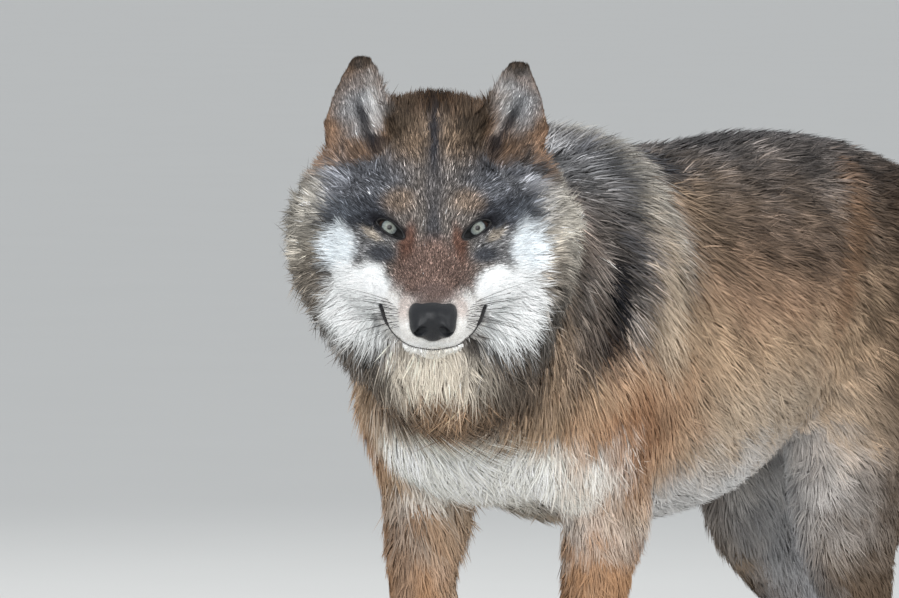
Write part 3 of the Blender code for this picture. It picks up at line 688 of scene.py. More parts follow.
def new_object(name, mesh):
    made = bpy.data.objects.new(name, mesh)
    bpy.context.scene.collection.objects.link(made)
    return made


def finish_piece(piece, material, slot, *replaced):
    """Moves a piece from the form's axes to the frame, gives it its material, hangs it on the root and hides
    the parts that it replaces.
    """
    piece.data.transform(Matrix.Translation(TO_FRAME))
    piece.data.materials.clear()
    piece.data.materials.append(material)
    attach(piece, "root")
    if replaced:
        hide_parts(*replaced)


def mesh_of(name, points, faces):
    """A mesh of equal-sided faces from arrays."""
    mesh = bpy.data.meshes.new(name)
    count, sides = faces.shape
    mesh.vertices.add(len(points))
    mesh.vertices.foreach_set("co", np.ascontiguousarray(points, np.float32).ravel())
    mesh.loops.add(count * sides)
    mesh.loops.foreach_set("vertex_index", np.ascontiguousarray(faces, np.int32).ravel())
    mesh.polygons.add(count)
    mesh.polygons.foreach_set("loop_start", np.arange(0, count * sides, sides, dtype=np.int32))
    mesh.update(calc_edges=True)
    mesh.shade_smooth()
    return mesh


def points_of(mesh):
    at = np.empty(len(mesh.vertices) * 3, np.float32)
    mesh.vertices.foreach_get("co", at)
    return at.reshape(-1, 3).astype(float)


def set_points(mesh, at):
    mesh.vertices.foreach_set("co", np.ascontiguousarray(at, np.float32).ravel())
    mesh.update()


def set_colours(mesh, colours):
    """Linear colours, one for each vertex, in the attribute that the materials read."""
    layer = mesh.color_attributes.new("coat", "FLOAT_COLOR", "POINT")
    filled = np.concatenate([colours, np.ones((len(colours), 1))], axis=1)
    layer.data.foreach_set("color", filled.astype(np.float32).ravel())


def bake(form):
    """Replaces the object's mesh with what its modifiers make of it."""
    graph = bpy.context.evaluated_depsgraph_get()
    made = bpy.data.meshes.new_from_object(form.evaluated_get(graph))
    form.modifiers.clear()
    form.data = made


def joined_balls(name, groups, which, voxel):
    """One closed mesh of the masses, or else the hollows, of the groups."""
    ball = bmesh.new()
    bmesh.ops.create_uvsphere(ball, u_segments=20, v_segments=12, radius=1.0)
    unit = [vertex.co.copy() for vertex in ball.verts]
    unit_faces = [[vertex.index for vertex in face.verts] for face in ball.faces]
    ball.free()
    points, faces = [], []
    for group in groups:
        for place in (group[0] @ one for mass in group[which] for one in mass.balls()):
            faces += [[len(points) + k for k in face] for face in unit_faces]
            points += [place @ point for point in unit]
    mesh = bpy.data.meshes.new(name)
    mesh.from_pydata(points, [], faces)
    joined = new_object(name, mesh)
    join = joined.modifiers.new("join", "REMESH")
    join.mode = "VOXEL"
    join.voxel_size = voxel
    bake(joined)
    return joined


def joined_form(name, groups, voxel):
    """One closed mesh of all masses of the groups less their hollows, smooth but not yet settled."""
    form = joined_balls(name, groups, 1, voxel)
    if any(group[2] for group in groups):
        cutter = joined_balls("cutter", groups, 2, voxel)
        hollow = form.modifiers.new("hollow", "BOOLEAN")
        hollow.object = cutter
        hollow.operation = "DIFFERENCE"
        again = form.modifiers.new("again", "REMESH")
        again.mode = "VOXEL"
        again.voxel_size = voxel
        relax = form.modifiers.new("relax", "SMOOTH")
        relax.iterations = 4
        bake(form)
        bpy.data.objects.remove(cutter)
    return form


def refine(mesh, chosen):
    """Splits in four the faces whose vertices are all chosen."""
    form = bmesh.new()
    form.from_mesh(mesh)
    form.verts.ensure_lookup_table()
    faces = [face for face in form.faces if all(chosen[vertex.index] for vertex in face.verts)]
    edges = list({edge for face in faces for edge in face.edges})
    bmesh.ops.subdivide_edges(form, edges=edges, cuts=1, use_grid_fill=True)
    form.to_mesh(mesh)
    form.free()
    mesh.update()


# ---- noise
def noise(points, size, seed=0):
    """Smooth noise from 0 to 1 with bumps of about that size."""
    cell = points / size + 100.0
    corner = np.floor(cell).astype(np.int64)
    part = cell - corner
    part = part * part * (3 - 2 * part)
    total = np.zeros(len(points))
    for corner_number in range(8):
        step = np.array([corner_number & 1, corner_number >> 1 & 1, corner_number >> 2 & 1])
        key = (corner + step) @ np.array([73856093, 19349663, 83492791]) + seed * 7919
        key = (key ^ (key >> 13)) * 1274126177 & 0xFFFFFFFF
        key = (key ^ (key >> 16)) * 2246822519 & 0xFFFFFFFF
        value = (key ^ (key >> 15) & 0xFFFF) % 65536 / 65535.0
        total += value * np.prod(np.where(step, part, 1 - part), axis=1)
    return total


def soft_step(low, high, value):
    share = np.clip((value - low) / (high - low), 0, 1)
    return share * share * (3 - 2 * share)


# ---- how the coat grows
USUAL_WIDTH = 1.2  # of a tuft, in mm


class Growth:
    """How the hair grows at one place: its lie, and the length, depth of coat and width of a tuft in mm."""

    def __init__(self, axes, at, lie, sizes, reach, part):
        self.at = np.array(axes @ Vector(at))
        self.lie = np.array((axes.to_3x3() @ Vector(lie)).normalized())
        self.sizes = np.array(sizes) / 1000
        self.reach = reach
        self.part = part


def growths():
    """The growth at places of the body, from the back to the nose and ears.

    Each is given by its place, lie, length, depth of coat and, where it isn't the usual, width in mm.
    """
    body = Matrix.Identity(4)
    made = []

    def grow(axes, part, reach, rows):
        for at, lie, length, depth, *width in rows:
            sides = (1, -1) if part.endswith("_pair") or (part == "head" and at[0]) else (1,)
            for side in sides:
                place, flow = (at[0] * side, *at[1:]), (lie[0] * side, *lie[1:])
                sizes = (length, depth, width[0] if width else USUAL_WIDTH)
                made.append(Growth(axes, place, flow, sizes, reach, part.removesuffix("_pair")))

    grow(body, "trunk", 0.09, (
        ((0.015, -0.1, 0.79), (0, 1, -0.1), 52, 16),
        ((0, 0.02, 0.78), (0, 1, 0), 46, 13),
        ((0, 0.18, 0.785), (0, 1, 0), 42, 12),
        ((0, 0.32, 0.78), (0, 1, -0.1), 40, 12),
        ((0, 0.45, 0.74), (0, 0.9, -0.5), 40, 12),
        ((0, 0.54, 0.64), (0, 0.3, -1), 42, 12),
        ((0, -0.2, 0.43), (0, 0.55, -0.8), 40, 12),
        ((0, -0.05, 0.41), (0, 0.9, -0.4), 38, 11),
        ((0, 0.12, 0.43), (0, 1, -0.1), 34, 10),
        ((0, 0.28, 0.53), (0, 0.8, 0.1), 26, 8, 1.15),
        ((0.03, -0.365, 0.56), (0, 0, -1), 48, 15),
        ((0, -0.3, 0.465), (0, 0.35, -0.95), 44, 13),
    ))
    grow(body, "trunk_pair", 0.09, (
        ((0.105, -0.1, 0.72), (0.1, 0.85, -0.55), 48, 14),
        ((0.14, -0.16, 0.64), (0, 0.6, -0.8), 42, 12),
        ((0.125, -0.2, 0.54), (0, 0.35, -0.93), 34, 9, 1.15),
        ((0.15, -0.05, 0.6), (0, 0.75, -0.65), 38, 11),
        ((0.15, 0.08, 0.62), (0, 0.85, -0.5), 36, 10),
        ((0.14, 0.05, 0.5), (0, 0.85, -0.5), 36, 10),
        ((0.11, 0.08, 0.72), (0.05, 0.95, -0.25), 40, 12),
        ((0.135, 0.2, 0.64), (0, 0.9, -0.4), 35, 10),
        ((0.1, 0.3, 0.73), (0, 0.85, -0.45), 36, 11),
        ((0.11, 0.24, 0.56), (0, 0.6, -0.8), 30, 8, 1.15),
        ((0.085, -0.32, 0.5), (0.1, 0.2, -1), 42, 12),
        ((0.06, 0.1, 0.43), (0, 0.95, -0.3), 34, 10),
        ((0.045, 0.25, 0.52), (0, 0.7, -0.4), 20, 6),
    ))
    grow(body, "thigh_pair", 0.08, (
        ((0.125, 0.38, 0.64), (0, 0.7, -0.7), 34, 10),
        ((0.125, 0.38, 0.54), (0, 0.5, -0.85), 30, 8, 1.15),
        ((0.08, 0.5, 0.6), (0, 0.5, -0.87), 38, 11),
        ((0.07, 0.48, 0.5), (0, 0.25, -0.97), 34, 9, 1.15),
        ((0.035, 0.4, 0.5), (0, 0.3, -0.95), 18, 5),
    ))
    neck = both_sides(lambda side: [
        ((0.05 + side * 0.115, -0.33, 0.68), (-0.25 + side * 0.15, 0.85, -0.5)),
        ((0.075 + side * 0.085, -0.4, 0.6), (-0.15 + side * 0.2, 0.55, -0.8)),
        ((0.03 + side * 0.11, -0.22, 0.7), (-0.15, 0.88, -0.45)),
        ((0.04 + side * 0.11, -0.27, 0.6), (-0.05, 0.55, -0.83)),
    ])
    for place, flow in neck:
        grow(body, "neck", 0.08, ((place, flow, 52, 16),))
    grow(body, "neck", 0.08, (
        ((0.055, -0.33, 0.8), (-0.35, 0.93, -0.05), 52, 16),
        ((0.02, -0.22, 0.8), (-0.2, 0.97, -0.1), 54, 17),
        ((0.105, -0.47, 0.56), (-0.05, 0.1, -1), 54, 17),
        ((0.07, -0.41, 0.52), (0, 0.15, -1), 52, 16),
    ))
    grow(body, "tail", 0.07, (
        ((0, 0.53, 0.7), (0, 0.75, -0.65), 40, 11),
        ((0.008, 0.62, 0.6), (0, 0.35, -0.93), 52, 13, 1.1),
        ((0.014, 0.66, 0.47), (0, 0.05, -1), 60, 15, 1.7),
        ((0.014, 0.56, 0.47), (0, -0.05, -1), 56, 15, 1.7),
        ((0.014, 0.61, 0.36), (0, -0.1, -1), 56, 13, 1.7),
        ((0.012, 0.59, 0.29), (0, -0.15, -1), 50, 6, 1.1),
    ))
    for name, leg in FORELEGS.items():
        x, low_x = leg["side"] * FORELEG_OUT, leg["side"] * FOOT_OUT
        elbow, wrist, toes = leg["elbow"], leg["wrist"], leg["toes"]
        foot = toes + FORE_FOOT
        grow(body, f"foreleg_{name}", 0.05, (
            ((x, elbow, 0.46), (0, 0.25, -0.97), 26, 6.5, 1),
            ((x, elbow - 0.01, 0.39), (0, 0.12, -1), 19, 4.5, 0.92),
            ((x, (elbow + wrist) / 2, 0.3), (0, 0.05, -1), 15, 3.4, 0.86),
            ((low_x, wrist, 0.19), (0, 0, -1), 12, 2.6, 0.85),
            ((low_x, (wrist + foot) / 2, 0.11), (0, -0.15, -1), 11, 2.4, 0.85),
            ((low_x, toes + 0.05, 0.05), (0, -0.8, -0.6), 9, 2.0, 0.86),
            ((low_x, toes + 0.01, 0.022), (0, -0.8, -0.6), 7, 1.6, 0.92),
        ))
    for name, leg in HIND_LEGS.items():
        x, low_x = leg["side"] * HIND_LEG_OUT, leg["side"] * FOOT_OUT
        knee, hock, toes = leg["knee"], leg["hock"], leg["toes"]
        foot = toes + HIND_FOOT
        grow(body, f"hindleg_{name}", 0.05, (
            ((x, knee + 0.04, 0.43), (0, 0.3, -0.95), 24, 6.0, 1),
            ((x, knee + 0.1, 0.4), (0, 0.3, -0.95), 26, 6.5, 1),
            ((x, (knee + hock) / 2 + 0.02, 0.32), (0, 0.45, -0.9), 17, 4.0, 0.92),
            ((low_x, hock, 0.22), (0, 0.1, -1), 12, 2.6, 0.85),
            ((low_x, (hock + foot) / 2, 0.11), (0, -0.35, -0.93), 11, 2.4, 0.85),
            ((low_x, toes + 0.05, 0.05), (0, -0.8, -0.6), 9, 2.0, 0.86),
            ((low_x, toes + 0.01, 0.022), (0, -0.8, -0.6), 7, 1.6, 0.92),
        ))
    grow(HEAD_MATRIX, "head", 0.03, (
        ((0, -0.11, -0.03), (0, 1, 0.25), 3.5, 0.8, 0.55),
        ((0, -0.085, -0.022), (0, 1, 0.35), 4.5, 1, 0.6),
        ((0, -0.05, -0.01), (0, 0.9, 0.45), 5.5, 1.3, 0.65),
        ((0.02, -0.07, -0.028), (0.35, 1, 0.3), 5.0, 1.1, 0.6),
        ((0.036, -0.08, -0.048), (0.3, 1, -0.05), 5.0, 1.1, 0.6),
        ((0.018, -0.108, -0.056), (0.45, 0.8, -0.35), 4.0, 0.8, 0.55),
        ((0.045, -0.055, -0.055), (0.45, 0.9, -0.2), 6.5, 1.5, 0.65),
        ((0, -0.1, -0.086), (0, 0.55, -0.85), 7.0, 1.8, 0.7),
        ((0.025, -0.07, -0.092), (0.3, 0.75, -0.6), 10, 2.6, 0.8),
        ((0, -0.02, 0.014), (0, 0.45, 0.9), 7.0, 1.8, 0.7),
        ((0.022, 0, 0.03), (0.3, 0.5, 0.8), 8.5, 2.2, 0.75),
        ((0, 0.01, 0.05), (0, 0.65, 0.75), 10, 2.8, 0.8),
        ((0.03, 0.025, 0.055), (0.3, 0.75, 0.6), 12, 3.2, 0.85),
        ((0.052, 0.045, 0.046), (0.22, 0.62, 0.75), 19, 5.0, 0.85),
        ((0, 0.05, 0.075), (0, 0.95, 0.35), 17, 4.5, 1),
        ((0, 0.085, 0.085), (0, 0.7, 0.62), 20, 6.5, 0.9),
        ((0.035, 0.085, 0.08), (0.05, 0.45, 0.9), 22, 7.5, 1),
        ((0, 0.125, 0.085), (0, 1, 0.1), 30, 9.0),
        ((0.048, 0.002, 0.024), (0.75, 0.4, 0.5), 8.0, 2.2, 0.75),
        ((0.065, 0.025, 0.03), (0.75, 0.65, 0.35), 13, 3.5, 0.9),
        ((0.09, 0.07, 0.025), (0.8, 0.7, 0.15), 24, 7.0, 1),
        ((0.026, -0.02, -0.01), (0.35, 0.8, 0.45), 5.5, 1.3, 0.65),
        ((0.052, -0.008, -0.022), (0.8, 0.6, -0.05), 8.0, 2.0, 0.75),
        ((0.04, -0.022, -0.036), (0.6, 0.8, -0.1), 7.0, 1.7, 0.7),
        ((0.06, 0, -0.045), (0.75, 0.65, -0.2), 13, 3.6, 0.9),
        ((0.085, 0.035, -0.03), (0.8, 0.6, -0.1), 22, 6.5, 0.95),
        ((0.075, 0.025, -0.075), (0.65, 0.5, -0.55), 26, 7.5, 1),
        ((0.12, 0.09, -0.02), (0.8, 0.6, -0.1), 40, 13),
        ((0.105, 0.08, -0.085), (0.7, 0.45, -0.55), 42, 13.5),
        ((0.06, 0.06, -0.13), (0.4, 0.4, -0.82), 42, 13.5),
        ((0, 0.01, -0.12), (0, 0.6, -0.78), 22, 7.5, 0.95),
        ((0, 0.06, -0.15), (0, 0.45, -0.88), 34, 12, 1.1),
        ((0.06, 0.125, 0.05), (0.25, 1, 0), 32, 10, 1.15),
    ))
    for name, side in (("left", 1), ("right", -1)):
        grow(ear_matrix(side), f"ear_{name}", 0.022, (
            ((0, 0.026, 0.01), (0, 0.2, 1), 14, 2.6, 0.9),
            ((0, 0.022, 0.05), (0, 0.1, 1), 10, 1.6, 0.8),
            ((0, 0.012, 0.09), (0, 0, 1), 7, 1.3, 0.6),
            ((side * 0.03, 0.004, 0.045), (side * 0.15, -0.1, 1), 7, 1.3, 0.6),
            ((side * 0.022, 0, 0.075), (0, -0.1, 1), 6, 1.2, 0.6),
            ((side * -0.03, 0.002, 0.04), (side * -0.05, -0.1, 1), 8, 1.4, 0.6),
            ((side * -0.02, -0.004, 0.04), (side * 0.75, -0.45, 0.75), 17, 2.4, 0.7),
            ((side * 0.006, 0, 0.05), (side * 0.1, -0.3, 1), 6, 1, 0.6),
            ((side * -0.016, -0.012, 0.014), (side * 0.45, -0.1, 0.9), 13, 2.6, 0.7),
            ((side * 0.02, -0.01, 0.012), (side * 0.25, -0.2, 1), 9, 1.6, 0.7),
        ))
    return made


AT_ONCE = 40000  # points worked on at a time, to spare memory


class Lay:
    """The growth at many points: lie, length, depth and width, and the nearest part of the body."""

    def __init__(self, points):
        kinds = ("at", "lie", "sizes", "reach")
        at, lie, sizes, reach = (np.array([getattr(one, kind) for one in GROWTHS]) for kind in kinds)
        self.parts = sorted({one.part for one in GROWTHS})
        part_number = np.array([self.parts.index(one.part) for one in GROWTHS])
        self.lie = np.empty((len(points), 3))
        self.sizes = np.empty((len(points), 3))
        self.part = np.empty(len(points), int)
        for start in range(0, len(points), AT_ONCE):
            some = slice(start, start + AT_ONCE)
            far = lengths(points[some, None] - at) / reach
            weight = 1 / (far**4 + 0.01)
            weight /= weight.sum(axis=1, keepdims=True)
            self.lie[some] = weight @ lie
            self.sizes[some] = weight @ sizes
            self.part[some] = part_number[far.argmin(axis=1)]
        self.lie = unit_rows(self.lie)

    def of_part(self, word):
        """Which points are on the parts whose names start with this word."""
        return np.array([name.startswith(word) for name in self.parts])[self.part]


# ---- the markings
class Patch:
    """A soft-edged patch of one colour. grizzle is how much its hairs differ, tip how dark they end."""

    def __init__(self, axes, at, radii, colour, grizzle, tip=0.0, strength=1.0, soft=0.5, turn=(0, 0, 0)):
        self.axes = axes
        self.at = np.array(at)
        self.radii = np.array(radii)
        self.values = np.array([*colour, grizzle, tip])
        self.strength = strength
        self.soft = soft
        self.turn = turned(turn)

    def weight(self, local, ragged):
        far = lengths((local - self.at) @ self.turn / self.radii) * ragged
        return self.strength * (1 - soft_step(1 - self.soft / 2, 1 + self.soft / 2, far))


BLACK = (0.01, 0.01, 0.013)
SOOT = (0.036, 0.039, 0.047)
SLATE = (0.11, 0.121, 0.14)
GREY = (0.24, 0.242, 0.248)
WHITE = (0.86, 0.88, 0.88)
CREAM = (0.5, 0.475, 0.42)
TAN = (0.44, 0.315, 0.21)
OCHRE = (0.31, 0.2, 0.13)
RUFOUS = (0.24, 0.14, 0.08)
RUST = (0.105, 0.05, 0.034)
UMBER = (0.15, 0.108, 0.082)
BARK = (0.066, 0.052, 0.04)


def patch_makers(axes, made):
    """Two functions: one adds a patch in those axes to made, the other adds it on both sides."""
    def one(at, *rest, **more):
        made.append(Patch(axes, at, *rest, **more))

    def both(at, *rest, turn=(0, 0, 0)):
        for side in (1, -1):
            one((at[0] * side, *at[1:]), *rest, turn=(turn[0], turn[1] * side, turn[2] * side))

    return one, both


# Each patch is given by its middle, radii, colour, grizzle, darkness of tip, strength and softness of edge.
def body_patches():
    """The patches of the body, painted in this order over the tan of the flanks."""
    made = []
    one, both = patch_makers(Matrix.Identity(4), made)

    # flanks and belly
    both((0.13, 0.08, 0.665), (0.08, 0.17, 0.055), OCHRE, 0.3, 0.15, 0.9, 1)
    both((0.14, 0.09, 0.51), (0.07, 0.2, 0.06), (0.47, 0.38, 0.29), 0.18, 0, 0.8, 1)
    one((0, 0.1, 0.41), (0.17, 0.42, 0.1), (0.64, 0.63, 0.62), 0.12, 0, 1, 0.8)
    # saddle
    both((0.11, 0.25, 0.72), (0.1, 0.38, 0.068), (0.105, 0.078, 0.06), 0.65, 0.6, 0.88, 1)
    one((0, 0.22, 0.795), (0.15, 0.36, 0.085), (0.105, 0.094, 0.088), 0.95, 0.75, 0.95, 0.9)
    one((0, 0.22, 0.81), (0.05, 0.34, 0.06), SOOT, 0.8, 0.6, 0.5, 1)
    both((0.11, 0.43, 0.66), (0.08, 0.16, 0.15), (0.056, 0.037, 0.025), 0.55, 0.35, 0.92, 0.9)
    both((0.13, 0.4, 0.5), (0.08, 0.15, 0.15), (0.082, 0.055, 0.036), 0.35, 0.1, 0.9, 0.9)
    both((0.122, 0.24, 0.7), (0.05, 0.02, 0.14), RUFOUS, 0.3, 0.15, 0.6, 1, turn=(-33, 0, 0))
    # neck and shoulders
    both((0.12, -0.27, 0.71), (0.11, 0.17, 0.115), (0.18, 0.158, 0.142), 0.85, 0.4, 1, 0.8)
    one((0.06, -0.4, 0.76), (0.16, 0.14, 0.1), UMBER, 0.6, 0.55, 0.8, 0.9)
    one((0.03, -0.25, 0.8), (0.13, 0.18, 0.075), GREY, 0.85, 0.6, 0.9, 0.9)
    both((0.12, -0.15, 0.735), (0.09, 0.031, 0.085), (0.39, 0.365, 0.32), 0.6, 0.15, 0.9, 0.9,
         turn=(10, 0, 0))
    both((0.14, -0.152, 0.64), (0.07, 0.031, 0.09), (0.45, 0.36, 0.27), 0.25, 0.05, 0.9, 0.9)
    one((0, -0.12, 0.81), (0.12, 0.036, 0.06), CREAM, 0.35, 0.1, 0.75, 1)
    both((0.06, -0.035, 0.78), (0.06, 0.024, 0.045), SOOT, 0.6, 0.5, 0.8, 1)
    both((0.085, -0.185, 0.78), (0.035, 0.026, 0.05), SOOT, 0.6, 0.5, 0.75, 1)
    both((0.158, -0.215, 0.7), (0.05, 0.014, 0.04), SOOT, 0.6, 0.4, 0.75, 1, turn=(20, 0, 0))
    both((0.158, -0.24, 0.65), (0.05, 0.018, 0.07), BLACK, 0.5, 0.3, 1, 0.9)
    both((0.15, -0.285, 0.64), (0.06, 0.03, 0.035), UMBER, 0.5, 0.4, 0.5, 1)
    both((0.14, -0.18, 0.52), (0.1, 0.105, 0.075), (0.44, 0.275, 0.17), 0.22, 0.05, 1, 0.9)
    both((0.15, -0.19, 0.52), (0.06, 0.042, 0.06), (0.31, 0.165, 0.09), 0.25, 0.05, 0.8, 1, turn=(-20, 0, 0))
    # throat, collar and chest
    one((0.1, -0.44, 0.6), (0.14, 0.12, 0.075), (0.34, 0.24, 0.162), 0.6, 0.35, 0.9, 0.8)
    one((0.115, -0.45, 0.572), (0.13, 0.12, 0.018), UMBER, 0.5, 0.6, 0.6, 1)
    one((0.03, -0.33, 0.478), (0.122, 0.18, 0.068), (0.88, 0.87, 0.82), 0.06, 0, 1, 0.6)
    one((0.09, -0.44, 0.53), (0.11, 0.09, 0.03), (0.84, 0.81, 0.74), 0.2, 0.05, 0.85, 0.9)
    one((0, -0.26, 0.415), (0.08, 0.15, 0.045), CREAM, 0.12)
    # legs
    for leg in FORELEGS.values():
        x, side = leg["side"] * FORELEG_OUT, leg["side"]
        one((x, leg["elbow"] - 0.01, 0.21), (0.09, 0.1, 0.235), (0.38, 0.22, 0.122), 0.12, 0, 1, 0.4)
        inside = x - side * 0.055
        one((inside, leg["elbow"] + 0.01, 0.23), (0.038, 0.11, 0.21), (0.5, 0.42, 0.33), 0.12, 0, 0.85, 1)
        one((x, leg["wrist"] - 0.04, 0.27), (0.02, 0.026, 0.17), (0.22, 0.18, 0.15), 0.4, 0, 0.6, 1)
        one((x, leg["toes"] + 0.03, 0.03), (0.08, 0.1, 0.05), CREAM, 0.2, 0, 0.4, 1)
    for leg in HIND_LEGS.values():
        x, side = leg["side"] * HIND_LEG_OUT, leg["side"]
        one((x, leg["hock"] - 0.05, 0.22), (0.09, 0.19, 0.22), (0.125, 0.087, 0.058), 0.18, 0, 1, 1)
        inside = x - side * 0.062
        one((inside, leg["hock"] - 0.06, 0.3), (0.055, 0.2, 0.24), (0.43, 0.43, 0.44), 0.15, 0, 0.95, 0.9)
        one((x, leg["hock"] + 0.045, 0.26), (0.04, 0.03, 0.1), UMBER, 0.35, 0.2, 0.45, 1)
        one((x, leg["toes"] + 0.02, 0.04), (0.08, 0.12, 0.06), CREAM, 0.2, 0, 0.5, 1)
    # tail
    one((0.01, 0.58, 0.5), (0.09, 0.1, 0.24), (0.3, 0.235, 0.17), 0.4, 0.4, 1, 0.8)
    one((0.012, 0.66, 0.56), (0.05, 0.045, 0.17), UMBER, 0.5, 0.6, 0.7, 1)
    one((0.012, 0.635, 0.62), (0.035, 0.03, 0.045), SOOT, 0.5, 0.6, 0.75, 1)
    one((0.012, 0.6, 0.28), (0.08, 0.08, 0.07), BLACK, 0.5, 0.5, 1, 0.8)
    return made


def face_patches():
    """The patches of the head, in axes that face straight out of the forehead and muzzle."""
    made = []
    one, both = patch_makers(TO_FACE, made)
    deep = 0.14
    # the whole head grizzled, the ruff cream at its edge
    one((0, 0.03, 0.02), (0.15, 0.25, 0.17), (0.125, 0.11, 0.1), 1, 0.4, 1, 0.25)
    one((0, -0.09, -0.085), (0.045, 0.07, 0.045), (0.8, 0.78, 0.75), 0.15)
    one((0, 0.13, 0.06), (0.1, 0.06, 0.09), (0.19, 0.135, 0.095), 0.6, 0.45, 0.8, 0.9)
    both((0.118, 0.1, 0), (0.034, 0.09, 0.085), (0.31, 0.262, 0.2), 0.65, 0.35, 0.85, 0.9)
    both((0.108, 0.05, 0.037), (0.018, 0.08, 0.028), (0.3, 0.27, 0.23), 0.6, 0.2, 0.8, 1)
    both((0.034, 0.02, 0.078), (0.034, deep, 0.024), (0.155, 0.108, 0.072), 1, 0.45, 0.9, 1)
    one((0, 0.1, 0.121), (0.062, deep, 0.023), (0.04, 0.021, 0.009), 0.9, 0.5, 0.95, 0.8)
    both((0.038, 0.08, 0.106), (0.018, deep, 0.024), (0.06, 0.038, 0.024), 0.6, 0.55, 0.85, 0.9)
    both((0.028, 0.02, 0.091), (0.009, deep, 0.0055), BARK, 0.5, 0.3, 0.7, 1, turn=(0, 20, 0))
    # grey band from the brow to the temple, its blue tint painted cool light of the shade
    both((0.066, 0.02, 0.036), (0.04, deep, 0.034), (0.108, 0.117, 0.135), 1, 0.25, 0.8, 1)
    both((0.067, 0.01, 0.006), (0.03, deep, 0.0125), (0.034, 0.038, 0.047), 0.8, 0.2, 0.92, 1, turn=(0, 6, 0))
    both((0.083, 0.04, 0.013), (0.02, deep, 0.012), SLATE, 0.7, 0.2, 0.75, 1)
    both((0.053, 0, 0.0185), (0.019, deep, 0.007), SOOT, 0.7, 0.2, 0.75, 1, turn=(0, -8, 0))
    both((0.03, -0.01, 0.021), (0.013, deep, 0.011), (0.225, 0.158, 0.108), 0.85, 0.2, 0.6, 1.2)
    both((0.119, 0.08, 0.012), (0.024, 0.1, 0.05), (0.38, 0.355, 0.31), 0.75, 0.45, 0.85, 0.9)
    # the dark line down the forehead
    one((0, 0, 0.081), (0.0042, deep, 0.03), BLACK, 0.5, 0.2, 0.9, 1)
    one((0, 0, 0.04), (0.008, deep, 0.045), SOOT, 0.8, 0.3, 0.5, 1)
    one((0, 0, -0.01), (0.0085, deep, 0.026), SOOT, 0.7, 0.2, 0.7, 1)
    # muzzle and cheeks
    both((0.06, 0, -0.018), (0.026, deep, 0.017), (0.155, 0.155, 0.158), 0.95, 0.2, 0.9, 0.8)
    both((0.081, 0.05, -0.019), (0.015, deep, 0.022), (0.72, 0.77, 0.8), 0.12, 0, 1, 0.7)
    both((0.064, 0.03, -0.069), (0.031, deep, 0.036), WHITE, 0.08, 0, 1, 0.6)
    both((0.054, 0, -0.06), (0.02, 0.09, 0.024), WHITE, 0.08)
    both((0.034, -0.08, -0.088), (0.024, 0.09, 0.032), (0.8, 0.78, 0.75), 0.15, 0, 1, 0.6)
    one((0, -0.04, -0.044), (0.0345, 0.1, 0.034), (0.15, 0.1, 0.082), 0.95, 0.15, 1, 0.6)
    one((0, -0.1, -0.062), (0.018, 0.05, 0.01), (0.105, 0.075, 0.066), 0.5, 0.1, 0.85, 0.9)
    both((0.0225, -0.02, -0.016), (0.007, 0.05, 0.016), RUST, 0.5, 0.2, 0.85, 1, turn=(0, -12, 0))
    both((0.044, -0.01, -0.026), (0.0115, 0.06, 0.007), SOOT, 0.5, 0.2, 0.9, 1, turn=(0, -12, 0))
    both((0.0405, -0.01, 0.0005), (0.0195, 0.05, 0.0086), BLACK, 0.3, 0, 0.95, turn=(0, -30, 0))
    both((0.0535, -0.01, -0.0065), (0.0095, 0.05, 0.0032), (0.36, 0.31, 0.25), 0.4, 0, 0.75, 1,
         turn=(0, -40, 0))
    both((0.0275, -0.11, -0.072), (0.01, 0.04, 0.013), (0.6, 0.52, 0.48), 0.25, 0, 0.9, 0.8)
    one((0, -0.06, -0.118), (0.04, 0.1, 0.016), WHITE, 0.15, 0, 0.9)
    both((0.0455, 0, -0.079), (0.0034, 0.06, 0.012), SOOT, 0.4, 0, 0.5, 1.2, turn=(0, -18, 0))
    one((0, -0.09, -0.1165), (0.03, 0.04, 0.006), (0.24, 0.24, 0.25), 0.9, 0.3, 0.8, 1)
    one((0.004, 0.05, -0.124), (0.054, 0.17, 0.021), (0.84, 0.76, 0.64), 0.15, 0.03, 0.95, 0.8)
    one((0.01, 0.07, -0.166), (0.11, 0.14, 0.027), (0.29, 0.185, 0.112), 0.8, 0.5, 0.92, 0.9)
    both((0.114, 0.09, -0.078), (0.024, 0.1, 0.05), (0.112, 0.1, 0.088), 0.9, 0.5, 0.9, 1)
    both((0.082, 0.1, -0.125), (0.044, 0.14, 0.03), (0.098, 0.076, 0.058), 0.9, 0.55, 0.9, 1)
    return made


def ear_patches(side):
    """The patches of an ear, in its own axes."""
    made = []
    one, _ = patch_makers(ear_matrix(side), made)
    one((0, 0.018, 0.05), (0.048, 0.028, 0.072), (0.15, 0.094, 0.06), 0.65, 0.55)
    one((0, 0.004, 0.101), (0.05, 0.04, 0.016), (0.045, 0.034, 0.026), 0.55, 0.4, 0.9, 0.7)
    one((side * -0.036, 0, 0.04), (0.013, 0.03, 0.05), (0.055, 0.04, 0.028), 0.55, 0.4, 0.85, 0.9)
    one((side * 0.038, 0, 0.04), (0.013, 0.03, 0.05), (0.18, 0.11, 0.07), 0.5, 0.2, 0.8, 0.9)
    one((side * 0.001, -0.03, 0.046), (0.03, 0.042, 0.047), (0.25, 0.255, 0.265), 0.7, 0, 1, 0.4)
    one((side * -0.012, -0.03, 0.048), (0.012, 0.04, 0.036), (0.5, 0.5, 0.5), 0.4, 0, 0.85, 0.9)
    # painted shade: a black V down the hollow of the ear
    one((side * -0.002, -0.012, 0.032), (0.0065, 0.03, 0.03), BLACK, 0.4, 0, 0.92, 0.9,
        turn=(0, side * 19, 0))
    # painted shade: black at the bottom of the hollow, by the ear's base
    one((side * -0.014, -0.012, 0.012), (0.01, 0.03, 0.009), BLACK, 0.4, 0, 0.85, 0.9)
    one((side * 0.032, -0.01, 0.012), (0.011, 0.03, 0.022), (0.24, 0.15, 0.098), 0.45, 0.1, 0.85, 0.9)
    return made


SOFT_EDGE = 0.012  # size of the ragged steps along the edges of the patches


